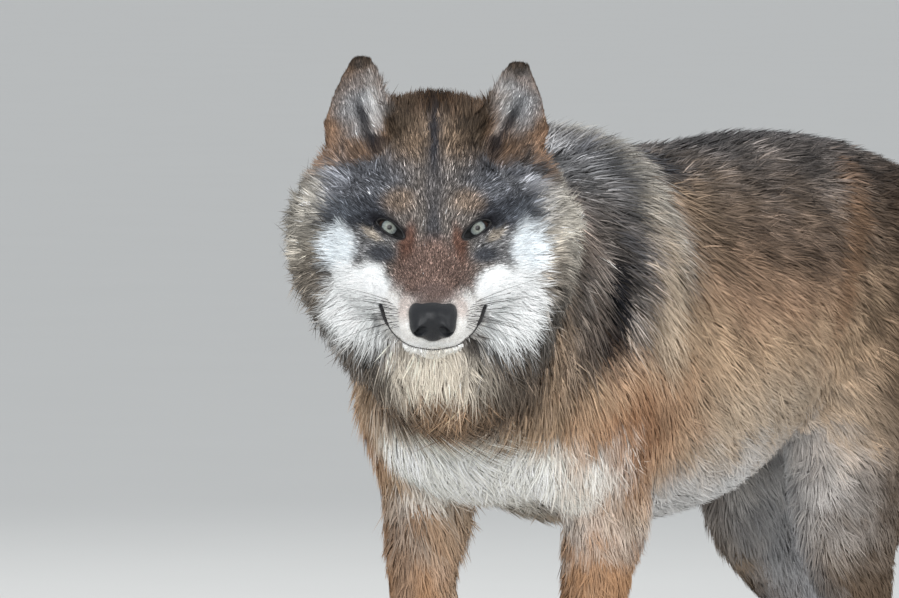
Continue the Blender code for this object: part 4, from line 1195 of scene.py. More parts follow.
def markings(points):
    """Colour, grizzle and darkness of tip of the coat at points of the form."""
    values = np.tile(np.array([*TAN, 0.25, 0.1]), (len(points), 1))
    ragged = 1 + 0.35 * (noise(points, SOFT_EDGE, 1) - 0.5) + 0.35 * (noise(points, 4 * SOFT_EDGE, 2) - 0.5)
    on_head = soft_step(-0.012, 0.012, HEAD_END - local_to(HEAD_MATRIX, points)[:, 1])
    for patches, ragged_by, share in (
        (body_patches(), ragged, 1.0),
        (face_patches(), 1 + (ragged - 1) * 0.7, on_head),
        (ear_patches(1) + ear_patches(-1), 1 + (ragged - 1) * 0.5, 1.0),
    ):
        local_of = {}
        for patch in patches:
            key = id(patch.axes)
            if key not in local_of:
                local_of[key] = local_to(patch.axes, points)
            weight = (patch.weight(local_of[key], ragged_by) * share)[:, None]
            values += (patch.values - values) * weight
    return values


def dark_lines(points):
    """How much of the bare dark skin of the lips, the lids and the pads shows at points of the form."""
    local = local_to(HEAD_MATRIX, points)
    dark = np.zeros(len(points))
    near_head = np.flatnonzero(lengths(local) < 0.16)
    dark[near_head] = 1 - soft_step(0.8, 1.5, lip_far(local[near_head]))
    for side in (1, -1):
        rim = lid_line(side)
        wide = 1 + 1.1 * soft_step(0.8, 1.0, np.cos(np.linspace(0, 2 * math.pi, len(rim), endpoint=False)))
        far = (lengths(local[near_head, None] - rim) / wide).min(axis=1)
        dark[near_head] = np.maximum(dark[near_head], 1 - soft_step(0.0013, 0.0024, far))
    under = 1 - soft_step(0.002, 0.004, points[:, 2])
    return np.maximum(dark, under)


def over_eye(local, margin):
    """Which points of the head lie before the opening of an eye, grown by the margin."""
    face = local @ FACE_TURN
    slant = math.radians(EYE_SLANT)
    x, z = np.abs(face[:, 0]) - EYE_MIDDLE[0], face[:, 2] - EYE_MIDDLE[1]
    across = x * math.cos(slant) + z * math.sin(slant)
    up = z * math.cos(slant) - x * math.sin(slant)
    upper, lower = lid_heights(across / (EYE_OPENING[0] / 2 + margin))
    inside = (np.abs(across) < EYE_OPENING[0] / 2 + margin) & (up < upper + margin) & (up > lower - margin)
    return inside & (face[:, 1] < 0.02)


# ---- materials
def new_material(name):
    material = bpy.data.materials.new(name)
    material.use_nodes = True
    return material, material.node_tree, material.node_tree.nodes["Principled BSDF"]


def group_of(name, inputs, outputs):
    """A new node group with those sockets, as (tree, its input node, its output node)."""
    tree = bpy.data.node_groups.new(name, "ShaderNodeTree")
    for socket, kind, default in inputs:
        made = tree.interface.new_socket(socket, in_out="INPUT", socket_type=kind)
        made.default_value = default
    for socket, kind in outputs:
        tree.interface.new_socket(socket, in_out="OUTPUT", socket_type=kind)
    return tree, tree.nodes.new("NodeGroupInput"), tree.nodes.new("NodeGroupOutput")


def add_node(tree, kind, **settings):
    node = tree.nodes.new(kind)
    for name, value in settings.items():
        setattr(node, name, value)
    return node


def set_inputs(node, **values):
    """Sets sockets of a node to plain values. A _ in a name stands for a space."""
    for name, value in values.items():
        node.inputs[name.replace("_", " ")].default_value = value
    return node


def wire(source, output, target, socket):
    """Links an output of one node to a socket of another."""
    target.id_data.links.new(source.outputs[output], target.inputs[socket])


def ranged(tree, value, kind="LINEAR", **ends):
    """The value mapped from one range to another."""
    node = set_inputs(add_node(tree, "ShaderNodeMapRange", interpolation_type=kind), **ends)
    tree.links.new(value, node.inputs["Value"])
    return node.outputs["Result"]


def mixed(tree, blend, share, first, second):
    """A colour mix node. Each of share, first and second is a socket or a plain value."""
    node = add_node(tree, "ShaderNodeMix", data_type="RGBA", blend_type=blend)
    for socket, value in zip((node.inputs[0], node.inputs[6], node.inputs[7]), (share, first, second)):
        if isinstance(value, bpy.types.NodeSocket):
            tree.links.new(value, socket)
        else:
            socket.default_value = value
    return node.outputs[2]


def speckle_group():
    """Fine hair-sized flecks: a colour that is lightened and darkened, and a height for a bump."""
    tree, given, result = group_of(
        "hair_speckle",
        (("Colour", "NodeSocketColor", (0.5, 0.5, 0.5, 1)), ("Fleck size", "NodeSocketFloat", 900.0),
         ("Strength", "NodeSocketFloat", 0.5)),
        (("Colour", "NodeSocketColor"), ("Height", "NodeSocketFloat"), ("Roughness", "NodeSocketFloat")),
    )
    where = add_node(tree, "ShaderNodeTexCoord")
    flecks = set_inputs(add_node(tree, "ShaderNodeTexNoise"), Detail=3.0)
    wire(where, "Object", flecks, "Vector")
    wire(given, "Fleck size", flecks, "Scale")
    spread = ranged(tree, flecks.outputs["Fac"], From_Min=0.32, From_Max=0.68)
    light = ranged(tree, spread, To_Min=0.45, To_Max=1.5)
    grey = add_node(tree, "ShaderNodeCombineColor")
    for name in ("Red", "Green", "Blue"):
        tree.links.new(light, grey.inputs[name])
    shade = mixed(tree, "MULTIPLY", given.outputs["Strength"], given.outputs["Colour"], grey.outputs["Color"])
    tree.links.new(shade, result.inputs["Colour"])
    tree.links.new(spread, result.inputs["Height"])
    tree.links.new(ranged(tree, spread, To_Min=0.78, To_Max=0.6), result.inputs["Roughness"])
    return tree


def pebble_group():
    """The round pebbles of bare leathery skin: their height, and a mask of the creases between them for
    painted shade.
    """
    tree, given, result = group_of(
        "leather_pebbles",
        (("Pebble size", "NodeSocketFloat", 900.0),),
        (("Height", "NodeSocketFloat"), ("Crease", "NodeSocketFloat")),
    )
    where = add_node(tree, "ShaderNodeTexCoord")
    cells = add_node(tree, "ShaderNodeTexVoronoi", feature="DISTANCE_TO_EDGE")
    wire(where, "Object", cells, "Vector")
    wire(given, "Pebble size", cells, "Scale")
    rise = ranged(tree, cells.outputs["Distance"], "SMOOTHSTEP", From_Max=0.16)
    tree.links.new(rise, result.inputs["Height"])
    crease = add_node(tree, "ShaderNodeMath", operation="SUBTRACT")
    crease.inputs[0].default_value = 1.0
    tree.links.new(rise, crease.inputs[1])
    wire(crease, "Value", result, "Crease")
    return tree


def shared_group(name, make):
    return bpy.data.node_groups.get(name) or make()


def placed_group(tree, group, **values):
    return set_inputs(add_node(tree, "ShaderNodeGroup", node_tree=group), **values)


def bumped(tree, surface, height, strength, distance):
    bump = set_inputs(add_node(tree, "ShaderNodeBump"), Strength=strength, Distance=distance)
    tree.links.new(height, bump.inputs["Height"])
    wire(bump, "Normal", surface, "Normal")


def hair_material(name, fleck_size, strength, bump):
    """The finish of the coat and of the skin under it, which read the same markings."""
    material, tree, surface = new_material(name)
    markings_of = add_node(tree, "ShaderNodeAttribute", attribute_name="coat")
    shared = shared_group("hair_speckle", speckle_group)
    speckle = placed_group(tree, shared, Fleck_size=fleck_size, Strength=strength)
    wire(markings_of, "Color", speckle, "Colour")
    wire(speckle, "Colour", surface, "Base Color")
    wire(speckle, "Roughness", surface, "Roughness")
    surface.inputs["Specular IOR Level"].default_value = 0.1
    if bump:
        bumped(tree, surface, speckle.outputs["Height"], bump, 0.0006)
    return material


def leather_material(name, colour, rough, coat, size=900.0, bump=0.5):
    """Bare black skin, as on the nose, the lids and the lips."""
    material, tree, surface = new_material(name)
    pebbles = placed_group(tree, shared_group("leather_pebbles", pebble_group), Pebble_size=size)
    # the creases between the pebbles are darkened to about a third: painted shade
    dark = tuple(channel * 0.35 for channel in colour)
    shade = mixed(tree, "MIX", pebbles.outputs["Crease"], (*colour, 1), (*dark, 1))
    tree.links.new(shade, surface.inputs["Base Color"])
    set_inputs(surface, Roughness=rough, Specular_IOR_Level=0.35, Coat_Weight=coat, Coat_Roughness=0.25)
    bumped(tree, surface, pebbles.outputs["Height"], bump, 0.0004)
    return material


def eye_material():
    """The eyeball: its ring colours are in the mesh, and a wet clear layer lies over them."""
    material, tree, surface = new_material("eyeball_wet")
    rings = add_node(tree, "ShaderNodeAttribute", attribute_name="coat")
    speckle = placed_group(
        tree, shared_group("hair_speckle", speckle_group), Fleck_size=1500.0, Strength=0.35)
    wire(rings, "Color", speckle, "Colour")
    wire(speckle, "Colour", surface, "Base Color")
    set_inputs(surface, Roughness=0.25, Specular_IOR_Level=0.2, Coat_Weight=0.15, Coat_Roughness=0.03)
    return material


def horn_material():
    """Dark horn with streaks along the claw."""
    material, tree, surface = new_material("claw_horn")
    where = add_node(tree, "ShaderNodeTexCoord")
    stretch = add_node(tree, "ShaderNodeMapping")
    stretch.inputs["Scale"].default_value = (1400, 300, 300)
    wire(where, "Object", stretch, "Vector")
    streaks = add_node(tree, "ShaderNodeTexNoise")
    streaks.inputs["Scale"].default_value = 1.0
    wire(stretch, "Vector", streaks, "Vector")
    shade = mixed(tree, "MIX", streaks.outputs["Fac"], (0.012, 0.011, 0.01, 1), (0.075, 0.062, 0.05, 1))
    tree.links.new(shade, surface.inputs["Base Color"])
    surface.inputs["Roughness"].default_value = 0.38
    bumped(tree, surface, streaks.outputs["Fac"], 0.3, 0.0003)
    return material


# ---- the skin
FLESH = [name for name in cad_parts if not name.startswith(("eye", "nose", "claw"))]


def build_skin(settings):
    """One closed skin under the whole coat, finest on the face."""
    groups = all_masses()
    bare = [(axes, head_masses() if axes is HEAD_MATRIX else masses, []) for axes, masses, _ in groups]
    skin = joined_form("skin", bare[:2] + groups[2:], settings.skin_mesh)
    mesh = skin.data
    at = points_of(mesh)
    depth = Lay(at).sizes[:, 1]
    at = settled(at, bare[:2] + groups[2:], -depth * settings.coat_depth, rounds=4)
    set_points(mesh, at)
    eyes = [(side * EYE_HALF_SPACING, -0.012, 0.0) for side in (1, -1)]
    face = [(0, 0, 0)]
    for centres, reach, y_end in ((face, 0.2, HEAD_END - 0.01), (face, 0.13, 0.035), (eyes, 0.023, 0.02)):
        local = local_to(HEAD_MATRIX, points_of(mesh))
        far = np.min([lengths(local - centre) for centre in centres], axis=0)
        refine(mesh, (far < reach) & (local[:, 1] < y_end))
    at = points_of(mesh)
    local = local_to(HEAD_MATRIX, at)
    head = (lengths(local) < 0.24) & (local[:, 1] < HEAD_END)
    depth = Lay(at[head]).sizes[:, 1] * settings.coat_depth
    lids = np.concatenate([lid_line(side) for side in (1, -1)])
    near = np.min([lengths(local[head] - place) for place in lids], axis=0)
    thin = (1 - dark_lines(at[head])) * (0.12 + 0.88 * soft_step(0.002, 0.013, near))
    at[head] = settled(at[head], groups, -depth * thin, rounds=4)
    set_points(mesh, at)
    open_lids(mesh)
    mesh.shade_smooth()
    return skin


def open_lids(mesh):
    """Opens the skin between the lids and lays the edge of the opening along them."""
    inside = over_eye(local_to(HEAD_MATRIX, points_of(mesh)), 0.0)
    form = bmesh.new()
    form.from_mesh(mesh)
    between = [face for face in form.faces if any(inside[vertex.index] for vertex in face.verts)]
    bmesh.ops.delete(form, geom=between, context="FACES")
    edge = [vertex for vertex in form.verts if vertex.is_boundary]
    at = local_to(HEAD_MATRIX, np.array([vertex.co for vertex in edge]))
    lids = np.concatenate([lid_line(side, 200) for side in (1, -1)])
    nearest = lids[lengths(at[:, None] - lids).argmin(axis=1)]
    for vertex, place in zip(edge, nearest):
        vertex.co = HEAD_MATRIX @ Vector(place)
    form.to_mesh(mesh)
    form.free()
    mesh.update()


def normals_of(mesh):
    normals = np.empty(len(mesh.vertices) * 3, np.float32)
    mesh.vertex_normals.foreach_get("vector", normals)
    return normals.reshape(-1, 3).astype(float)


def skin_colours(at):
    """The markings as the skin shows them between the hairs, all darkened as painted shade under the coat,
    with a grain where the hair is grizzled.
    """
    values = markings(at)
    grain = noise(at, 0.0016, 5) * 0.6 + noise(at, 0.004, 6) * 0.4 - 0.5
    # the 0.72 darkens the markings all over: painted shade under the coat
    shade = 0.72 * (1 + 1.5 * grain[:, None] * values[:, 3:4])
    colours = values[:, :3] * np.clip(shade, 0.15, 2.0)
    dark = dark_lines(at)[:, None]
    return colours * (1 - dark) + np.array(BLACK) * dark


# ---- the coat
HEAD_THICKNESS = 1.5  # layers of tufts on the head to those on the body
LEG_THICKNESS = 0.7  # the same on the legs
BLADE_FULLNESS = 0.55  # area of a blade to that of its length times its width
LOCK_SIZE = 0.014  # size of the locks that the tufts gather in
LOWEST_TIP = 0.003  # no tuft hangs lower over the floor
BOW = 0.35  # how much of its tip's move the middle of a tuft makes
DARKEST, LIGHTEST = 0.004, 0.88  # that a hair's colour gets


class Tufts:
    """The roots of all tufts, laid over the skin, and the shape and colour of each."""

    def __init__(self, skin, settings):
        self.random = np.random.default_rng(settings.seed)
        mesh = skin.data
        mesh.calc_loop_triangles()
        corners = np.empty(len(mesh.loop_triangles) * 3, np.int32)
        mesh.loop_triangles.foreach_get("vertices", corners)
        corners = corners.reshape(-1, 3)
        at = points_of(mesh) - np.array(TO_FRAME)
        normals = normals_of(mesh)
        a, b, c = at[corners[:, 0]], at[corners[:, 1]], at[corners[:, 2]]
        area = lengths(np.cross(b - a, c - a)) / 2
        middle = (a + b + c) / 3
        lay = Lay(middle)
        on_head = lay.of_part("head") | lay.of_part("ear")
        on_leg = lay.of_part("fore") | lay.of_part("hind")
        thickness = np.select([on_head, on_leg], [HEAD_THICKNESS, LEG_THICKNESS], 1.0)
        cover = lay.sizes[:, 0] * lay.sizes[:, 2] * BLADE_FULLNESS / thickness
        bald = (dark_lines(middle) > 0.5) | inside_nose(middle)
        wanted = np.where(bald, 0, area / cover)
        total = np.cumsum(wanted)
        count = int(settings.tufts * (1.0))
        picks = (np.arange(count) + self.random.random(count)) / count * total[-1]
        chosen = np.minimum(np.searchsorted(total, picks), len(total) - 1)
        u, v = self.random.random(count), self.random.random(count)
        flip = u + v > 1
        u, v = np.where(flip, 1 - u, u), np.where(flip, 1 - v, v)
        share = np.stack([1 - u - v, u, v], axis=1)
        self.root = (at[corners[chosen]] * share[:, :, None]).sum(axis=1)
        self.normal = unit_rows((normals[corners[chosen]] * share[:, :, None]).sum(axis=1))
        self.lay = Lay(self.root)
        self.count = count

    def clumped(self, size, seed):
        """The number of the lock that each tuft is in, for locks of about that size."""
        drift = np.stack([noise(self.root, 0.02, seed + k) for k in range(3)], axis=1) * size * 1.5
        grid = np.floor((self.root + drift) / (size * 0.5)).astype(np.int64) + 5000
        key = (grid[:, 0] * 10007 + grid[:, 1]) * 10007 + grid[:, 2]
        return np.unique(key, return_inverse=True)[1].reshape(-1)

    def shape(self, settings):
        """Works out the line of each tuft from its root to its tip."""
        random = self.random
        lay = self.lay
        length = lay.sizes[:, 0].copy()
        long_hair = soft_step(0.008, 0.03, length)
        clump = self.clumped(LOCK_SIZE, 20)
        clumps = clump.max() + 1
        clump_random = random.normal(size=(clumps, 6))[clump]
        self.clump_tone = clump_random[:, 0]
        self.clump_step = random.random(clumps)[clump]
        near_head = np.flatnonzero(lengths(local_to(HEAD_MATRIX, self.root)) < 0.15)
        length[near_head] *= self.shortened(near_head)
        length = length * np.exp(0.12 * random.normal(size=self.count) + 0.1 * long_hair * clump_random[:, 1])
        flow = lay.lie + clump_random[:, 2:5] * (0.1 + 0.1 * long_hair)[:, None]
        flow += random.normal(size=(self.count, 3)) * 0.1
        flow -= self.normal * (flow * self.normal).sum(axis=1, keepdims=True)
        flow = unit_rows(flow)
        depth = lay.sizes[:, 1] * settings.coat_depth
        rise = depth / length * np.clip(0.8 + 0.22 * random.normal(size=self.count), 0.3, 1.4)
        rise = np.clip(rise, 0.03, 0.8)
        level = np.sqrt(1 - rise**2)
        reach = (flow * level[:, None] + self.normal * rise[:, None]) * length[:, None]
        tip = self.root + reach
        # each lock closes on the tip of its own middle
        tally = np.bincount(clump, minlength=clumps)
        gathered = np.stack([np.bincount(clump, tip[:, k], clumps) / tally for k in range(3)], axis=1)[clump]
        pull = settings.clumping * long_hair * np.clip(0.5 + 0.35 * clump_random[:, 5], 0.1, 0.9)
        tip += (gathered - tip) * pull[:, None]
        tip[:, 2] = np.maximum(tip[:, 2], LOWEST_TIP)
        middle_rise = np.minimum(rise * 0.68, 0.7)[:, None]
        middle = self.root + (flow * level[:, None] * 0.46 + self.normal * middle_rise) * length[:, None]
        self.middle = middle + (tip - self.root - reach) * BOW
        self.tip = tip
        uneven = np.clip(1 + 0.2 * random.normal(size=self.count), 0.5, 1.6)
        self.width = lay.sizes[:, 2] * settings.tuft_width * uneven
        self.long_hair = long_hair
        self.keep_clear(near_head)

    def shortened(self, near_head):
        """How much shorter the hair is close to the lids and the lips."""
        local = local_to(HEAD_MATRIX, self.root[near_head])
        share = np.ones(len(near_head))
        for side in (1, -1):
            for line, reach in ((lid_line(side), 0.012), (lip_points(side, 40), 0.007)):
                far = lengths(local[:, None] - line).min(axis=1)
                share = np.minimum(share, 0.35 + 0.65 * soft_step(0.0, reach, far))
        return share

    def keep_clear(self, near_head):
        """Ends each tuft before it hangs over an eye or the line between the lips."""
        root, tip = (local_to(HEAD_MATRIX, ends[near_head]) for ends in (self.root, self.tip))
        free = np.ones(len(near_head))
        for share in np.linspace(1.0, 0.2, 9):
            at = root + (tip - root) * share
            covers = over_eye(at, 0.001)
            by_lips = np.flatnonzero((np.abs(at[:, 0]) < 0.055) & (at[:, 1] < 0))
            covers[by_lips] |= lip_far(at[by_lips]) < 1.0
            free[covers] = share - 0.1
        for ends in (self.middle, self.tip):
            ends[near_head] = self.root[near_head] + (ends[near_head] - self.root[near_head]) * free[:, None]

    def colour(self):
        """Root, middle and tip colours of each tuft."""
        random = self.random
        values = markings(self.root)
        base, grizzle, tip = values[:, :3], values[:, 3], values[:, 4]
        hair = grizzle * (0.8 - 0.5 * self.long_hair)
        lock = grizzle * 0.35 * self.long_hair
        blotch = grizzle * (0.5 + 1.7 * self.long_hair)
        tone = hair * random.normal(size=self.count) + lock * self.clump_tone
        wide, fine = noise(self.root, 0.024, 9) - 0.5, noise(self.root, 0.009, 10) - 0.5
        tone += blotch * wide + 0.6 * blotch * fine
        tone += 0.06 * random.normal(size=self.count) - 0.5 * (hair**2 + lock**2)
        body = np.clip(base * np.exp(tone)[:, None], DARKEST, LIGHTEST)
        darkened = random.random(self.count) < tip * (0.55 + 0.45 * self.clump_step)
        tip_colour = np.where(darkened[:, None], body * 0.24 + np.array(BLACK) * 0.5, body * 1.04)
        # the roots darker, more so where the hair is grizzled: painted shade deep in the coat
        root_colour = body * (0.82 - 0.3 * grizzle)[:, None]
        middle_colour = np.where(darkened[:, None], np.minimum(body * 1.2, 0.85), body)
        return root_colour, middle_colour, np.clip(tip_colour, DARKEST, LIGHTEST)

    def blades(self):
        """Points and shading normals of the tufts: a narrow base, a wide middle and a tip."""
        along = unit_rows(self.tip - self.root)
        across = unit_rows(np.cross(along, self.normal))
        out = np.cross(across, along)
        angle = self.random.normal(size=self.count) * 0.55
        side = across * np.cos(angle)[:, None] + out * np.sin(angle)[:, None]
        half = side * (self.width / 2)[:, None]
        base = half * 0.7
        corners = [self.root - base, self.root + base, self.middle - half, self.middle + half, self.tip]
        points = np.stack(corners, axis=1)
        face = np.cross(side, along)
        face *= np.sign((face * self.normal).sum(axis=1, keepdims=True) + 1e-9)
        soft = self.normal * 0.9 + face * 0.1 + self.random.normal(size=(self.count, 3)) * 0.025
        return points, np.repeat(unit_rows(soft)[:, None], 5, axis=1)


BLADE_FACES = np.array([[0, 1, 3], [0, 3, 2], [2, 3, 4]])  # two at the base and one at the tip
TUFT_ON_CHART = 0.003  # width that a tuft takes up on the unwrap
CORNERS_ON_CHART = np.array([[-0.5, -0.5], [0.5, -0.5], [-0.5, 0], [0.5, 0], [0, 0.5]]) * TUFT_ON_CHART


class Chart:
    """A stretch of the body unrolled about its own axis into a rectangle of the unwrap."""

    def __init__(self, part, axes, long, low, high):
        self.part = part
        self.axes = axes
        self.long = long
        self.low = np.array(low)
        self.high = np.array(high)

    def place(self, points):
        local = local_to(self.axes, points)
        along = local[:, self.long]
        round_by = [k for k in range(3) if k != self.long]
        turn = np.arctan2(local[:, round_by[0]], -local[:, round_by[1]]) / (2 * math.pi) + 0.5
        share = (along - along.min()) / max(np.ptp(along), 1e-6)
        edge = TUFT_ON_CHART
        return self.low + edge + np.stack([turn, share], axis=1) * (self.high - self.low - 2 * edge)


def charts():
    """Where each part of the body lies on the unwrap."""
    def moved(x, y, z):
        return Matrix.Translation((x, y, z))

    made = [
        Chart("head", HEAD_MATRIX @ moved(0, 0, -0.03), 1, (0.0, 0.5), (0.5, 1.0)),
        Chart("neck", moved(0.05, 0, 0.68), 1, (0.5, 0.7), (1.0, 1.0)),
        Chart("trunk", moved(0, 0, 0.62), 1, (0.0, 0.0), (0.6, 0.5)),
        Chart("thigh", moved(0, 0.42, 0), 2, (0.6, 0.35), (0.8, 0.5)),
        Chart("tail", moved(0.012, 0.6, 0), 2, (0.5, 0.5), (0.75, 0.7)),
        Chart("ear_left", ear_matrix(1), 2, (0.75, 0.5), (0.875, 0.7)),
        Chart("ear_right", ear_matrix(-1), 2, (0.875, 0.5), (1.0, 0.7)),
    ]
    for k, (name, leg) in enumerate(FORELEGS.items()):
        axes = moved(leg["side"] * 0.081, (leg["elbow"] + leg["wrist"]) / 2, 0)
        made.append(Chart(f"foreleg_{name}", axes, 2, (0.6 + k * 0.1, 0.0), (0.7 + k * 0.1, 0.35)))
    for k, (name, leg) in enumerate(HIND_LEGS.items()):
        axes = moved(leg["side"] * 0.081, leg["hock"] - 0.03, 0)
        made.append(Chart(f"hindleg_{name}", axes, 2, (0.8 + k * 0.1, 0.0), (0.9 + k * 0.1, 0.35)))
    return made


MOST_IN_PIECE = 60000  # tufts, three triangles each


def coat_piece(name, which, parts, material, slot):
    """One joined mesh of some of the tufts."""
    points, normals, colours, corner_places = (part[which] for part in parts)
    count = len(which)
    faces = (np.arange(count)[:, None, None] * 5 + BLADE_FACES).reshape(-1, 3)
    mesh = mesh_of(name, points.reshape(-1, 3), faces)
    set_colours(mesh, colours.reshape(-1, 3))
    layer = mesh.uv_layers.new(name="OFBake")
    corners = corner_places.reshape(-1, 2)[faces.reshape(-1)]
    layer.data.foreach_set("uv", corners.astype(np.float32).ravel())
    free = mesh.attributes.new("custom_normal", "FLOAT_VECTOR", "POINT")
    free.data.foreach_set("vector", normals.astype(np.float32).ravel())
    finish_piece(new_object(name, mesh), material, slot)


def build_coat(settings):
    """All tufts of the coat, in pieces by part of the body."""
    tufts = Tufts(bpy.data.objects["skin"], settings)
    tufts.shape(settings)
    root_colour, middle_colour, tip_colour = tufts.colour()
    colours = np.stack([root_colour, root_colour, middle_colour, middle_colour, tip_colour], axis=1)
    points, normals = tufts.blades()
    places = np.full((tufts.count, 2), 0.5)
    for chart in charts():
        on = np.flatnonzero(tufts.lay.of_part(chart.part))
        if len(on):
            places[on] = chart.place(tufts.root[on])
    corner_places = places[:, None] + CORNERS_ON_CHART
    material = hair_material("coat_hair", 1400.0, 0.35, 0.0)
    parts = (points, normals, colours, corner_places)
    for name, slot, words in (
        ("coat_head", "coat_head", ("head", "ear")),
        ("coat_neck", "coat_body", ("neck",)),
        ("coat_trunk", "coat_body", ("trunk", "thigh")),
        ("coat_tail", "coat_body", ("tail",)),
        ("coat_legs", "coat_legs", ("foreleg", "hindleg")),
    ):
        on = np.any([tufts.lay.of_part(word) for word in words], axis=0)
        chosen = np.flatnonzero(on)
        chosen = chosen[np.argsort(tufts.root[chosen, 1], kind="stable")]
        shares = math.ceil(len(chosen) / MOST_IN_PIECE)
        for number, which in enumerate(np.array_split(chosen, shares) if shares else (), start=1):
            coat_piece(f"{name}_{number}", which, parts, material, slot)


# ---- eyes and lids
def build_eyes(settings):
    """Two eyeballs that look straight ahead out of the face, with a bulging cornea and a ringed iris."""
    material = eye_material()
    for name, side in (("left", 1), ("right", -1)):
        ball = bmesh.new()
        bmesh.ops.create_uvsphere(ball, u_segments=96, v_segments=64, radius=1.0)
        mesh = bpy.data.meshes.new(f"eyeball_{name}")
        ball.to_mesh(mesh)
        ball.free()
        unit = points_of(mesh)
        ring = np.hypot(unit[:, 0], unit[:, 1])
        front = unit[:, 2] > 0
        iris = settings.iris_width / 2
        cornea = np.where(front, np.clip(1 - (ring * EYE_RADIUS / iris) ** 2, 0, 1), 0)
        set_points(mesh, unit * (EYE_RADIUS - 0.0004 + 0.0009 * cornea)[:, None])
        set_colours(mesh, eye_rings(unit, ring * EYE_RADIUS, front, iris, settings))
        gaze = Matrix.Rotation(math.radians(90 - FACE_TIP), 4, "X")
        at = Matrix.Translation((side * EYE_HALF_SPACING, EYE_DEPTH, EYE_LIFT))
        mesh.transform(HEAD_MATRIX @ at @ gaze)
        mesh.shade_smooth()
        finish_piece(new_object(f"eyeball_{name}", mesh), material, "eye", f"eye_{name}")


def eye_rings(unit, radius, front, iris, settings):
    """Pupil, iris with its fibres and dark rim, and the dark white of the eye around it."""
    turn = np.arctan2(unit[:, 1], unit[:, 0])
    fibres = noise(np.stack([np.cos(turn) * 9, np.sin(turn) * 9, radius * 300], axis=1), 1.0, 30)
    share = np.clip(radius / iris, 0, 1)[:, None]
    inner, outer = np.array(settings.iris_inner), np.array(settings.iris_outer)
    colour = (inner + (outer - inner) * share) * (0.72 + 0.5 * fibres)[:, None]
    rim = soft_step(0.84, 0.97, share)
    colour = colour * (1 - rim) + np.array((0.01, 0.012, 0.016)) * rim
    edge = settings.pupil_width / 2
    pupil = 1 - soft_step(edge - 0.0003, edge + 0.0003, radius)[:, None]
    colour = colour * (1 - pupil) + 0.002 * pupil
    white = (np.where(front, soft_step(iris, iris + 0.0004, radius), 1))[:, None]
    return colour * (1 - white) + np.array((0.03, 0.02, 0.017)) * white


def grid_faces(count, sides, closed=False):
    """The faces between that many rings of points."""
    spans = count if closed else count - 1
    k, j = np.meshgrid(np.arange(spans), np.arange(sides), indexing="ij")
    after, beside = (k + 1) % count, (j + 1) % sides
    faces = np.stack([k * sides + j, after * sides + j, after * sides + beside, k * sides + beside], axis=2)
    return faces.reshape(-1, 4)


NEVER_ALONG = np.array([0.05, -1.0, 0.02])  # a direction that none of the tubes runs in


def tube(line, radii, sides=10, closed=True):
    """A round tube along a line of points, closed on itself or ended in points."""
    line = np.asarray(line)
    if closed:
        along = np.roll(line, -1, axis=0) - np.roll(line, 1, axis=0)
    else:
        along = np.gradient(line, axis=0)
    along = unit_rows(along)
    side = unit_rows(np.cross(along, NEVER_ALONG))
    out = np.cross(side, along)
    turn = np.linspace(0, 2 * math.pi, sides, endpoint=False)
    ring = side[:, None] * np.cos(turn)[None, :, None] + out[:, None] * np.sin(turn)[None, :, None]
    points = (line[:, None] + ring * np.asarray(radii)[:, None, None]).reshape(-1, 3)
    return points, grid_faces(len(line), sides, closed)


def build_lids(settings):
    """The black edges of the lids round each eye, widest at the tear duct, and those of the lips."""
    material = leather_material("lid_edge", (0.006, 0.0055, 0.006), 0.42, 0.12, 2200.0, 0.25)
    lips = leather_material("lip_edge", (0.03, 0.026, 0.027), 0.6, 0.0, 2200.0, 0.25)
    for name, side in (("left", 1), ("right", -1)):
        line = lid_line(side)
        turn = np.linspace(0, 2 * math.pi, len(line), endpoint=False)
        inner = soft_step(0.55, 1.0, np.cos(turn))
        outer = soft_step(0.75, 1.0, -np.cos(turn))
        radii = settings.lid_edge * (1 + 0.9 * inner + 0.5 * outer)
        points, faces = tube(line, radii)
        deep = np.array([side * EYE_HALF_SPACING, EYE_DEPTH, EYE_LIFT])
        socket = [line + (deep - line) * share for share in (0.0, 0.12, 0.3, 0.6)]
        socket_faces = grid_faces(len(socket), len(line)) + len(points)
        points = np.concatenate([points, *socket])
        faces = np.concatenate([faces[:, ::side], socket_faces[:, ::-side]])
        mesh = mesh_of(f"lid_edge_{name}", points, faces)
        mesh.transform(HEAD_MATRIX)
        finish_piece(new_object(f"lid_edge_{name}", mesh), material, "nose_leather")
        line = lip_points(side, 48)
        share = np.linspace(0, 1, len(line))
        radii = settings.lip_edge * (0.15 + 0.85 * soft_step(0, 0.12, share))
        radii *= 1 - 0.5 * soft_step(0.15, 0.6, share)
        points, faces = tube(line, radii, closed=False)
        mesh = mesh_of(f"lip_edge_{name}", points, faces[:, ::side])
        mesh.transform(HEAD_MATRIX)
        finish_piece(new_object(f"lip_edge_{name}", mesh), lips, "nose_leather")


# ---- nose
NOSE_SINK = 0.0006


def inside_nose(points):
    return bare_distance(points, [(HEAD_MATRIX, nose_masses(), [])]) < NOSE_SINK


def build_nose(settings):
    """The bare nose with its nostrils, wings and middle groove."""
    groups = [(HEAD_MATRIX, nose_masses(), nose_hollows())]
    nose = joined_form("nose_pad", groups, settings.nose_mesh)
    set_points(nose.data, settled(points_of(nose.data), groups, 0.0, 4))
    nose.data.shade_smooth()
    material = leather_material("nose_leather", tuple(settings.nose_colour), 0.36, 0.1, 1000.0, 0.75)
    finish_piece(nose, material, "nose_leather", "nose")


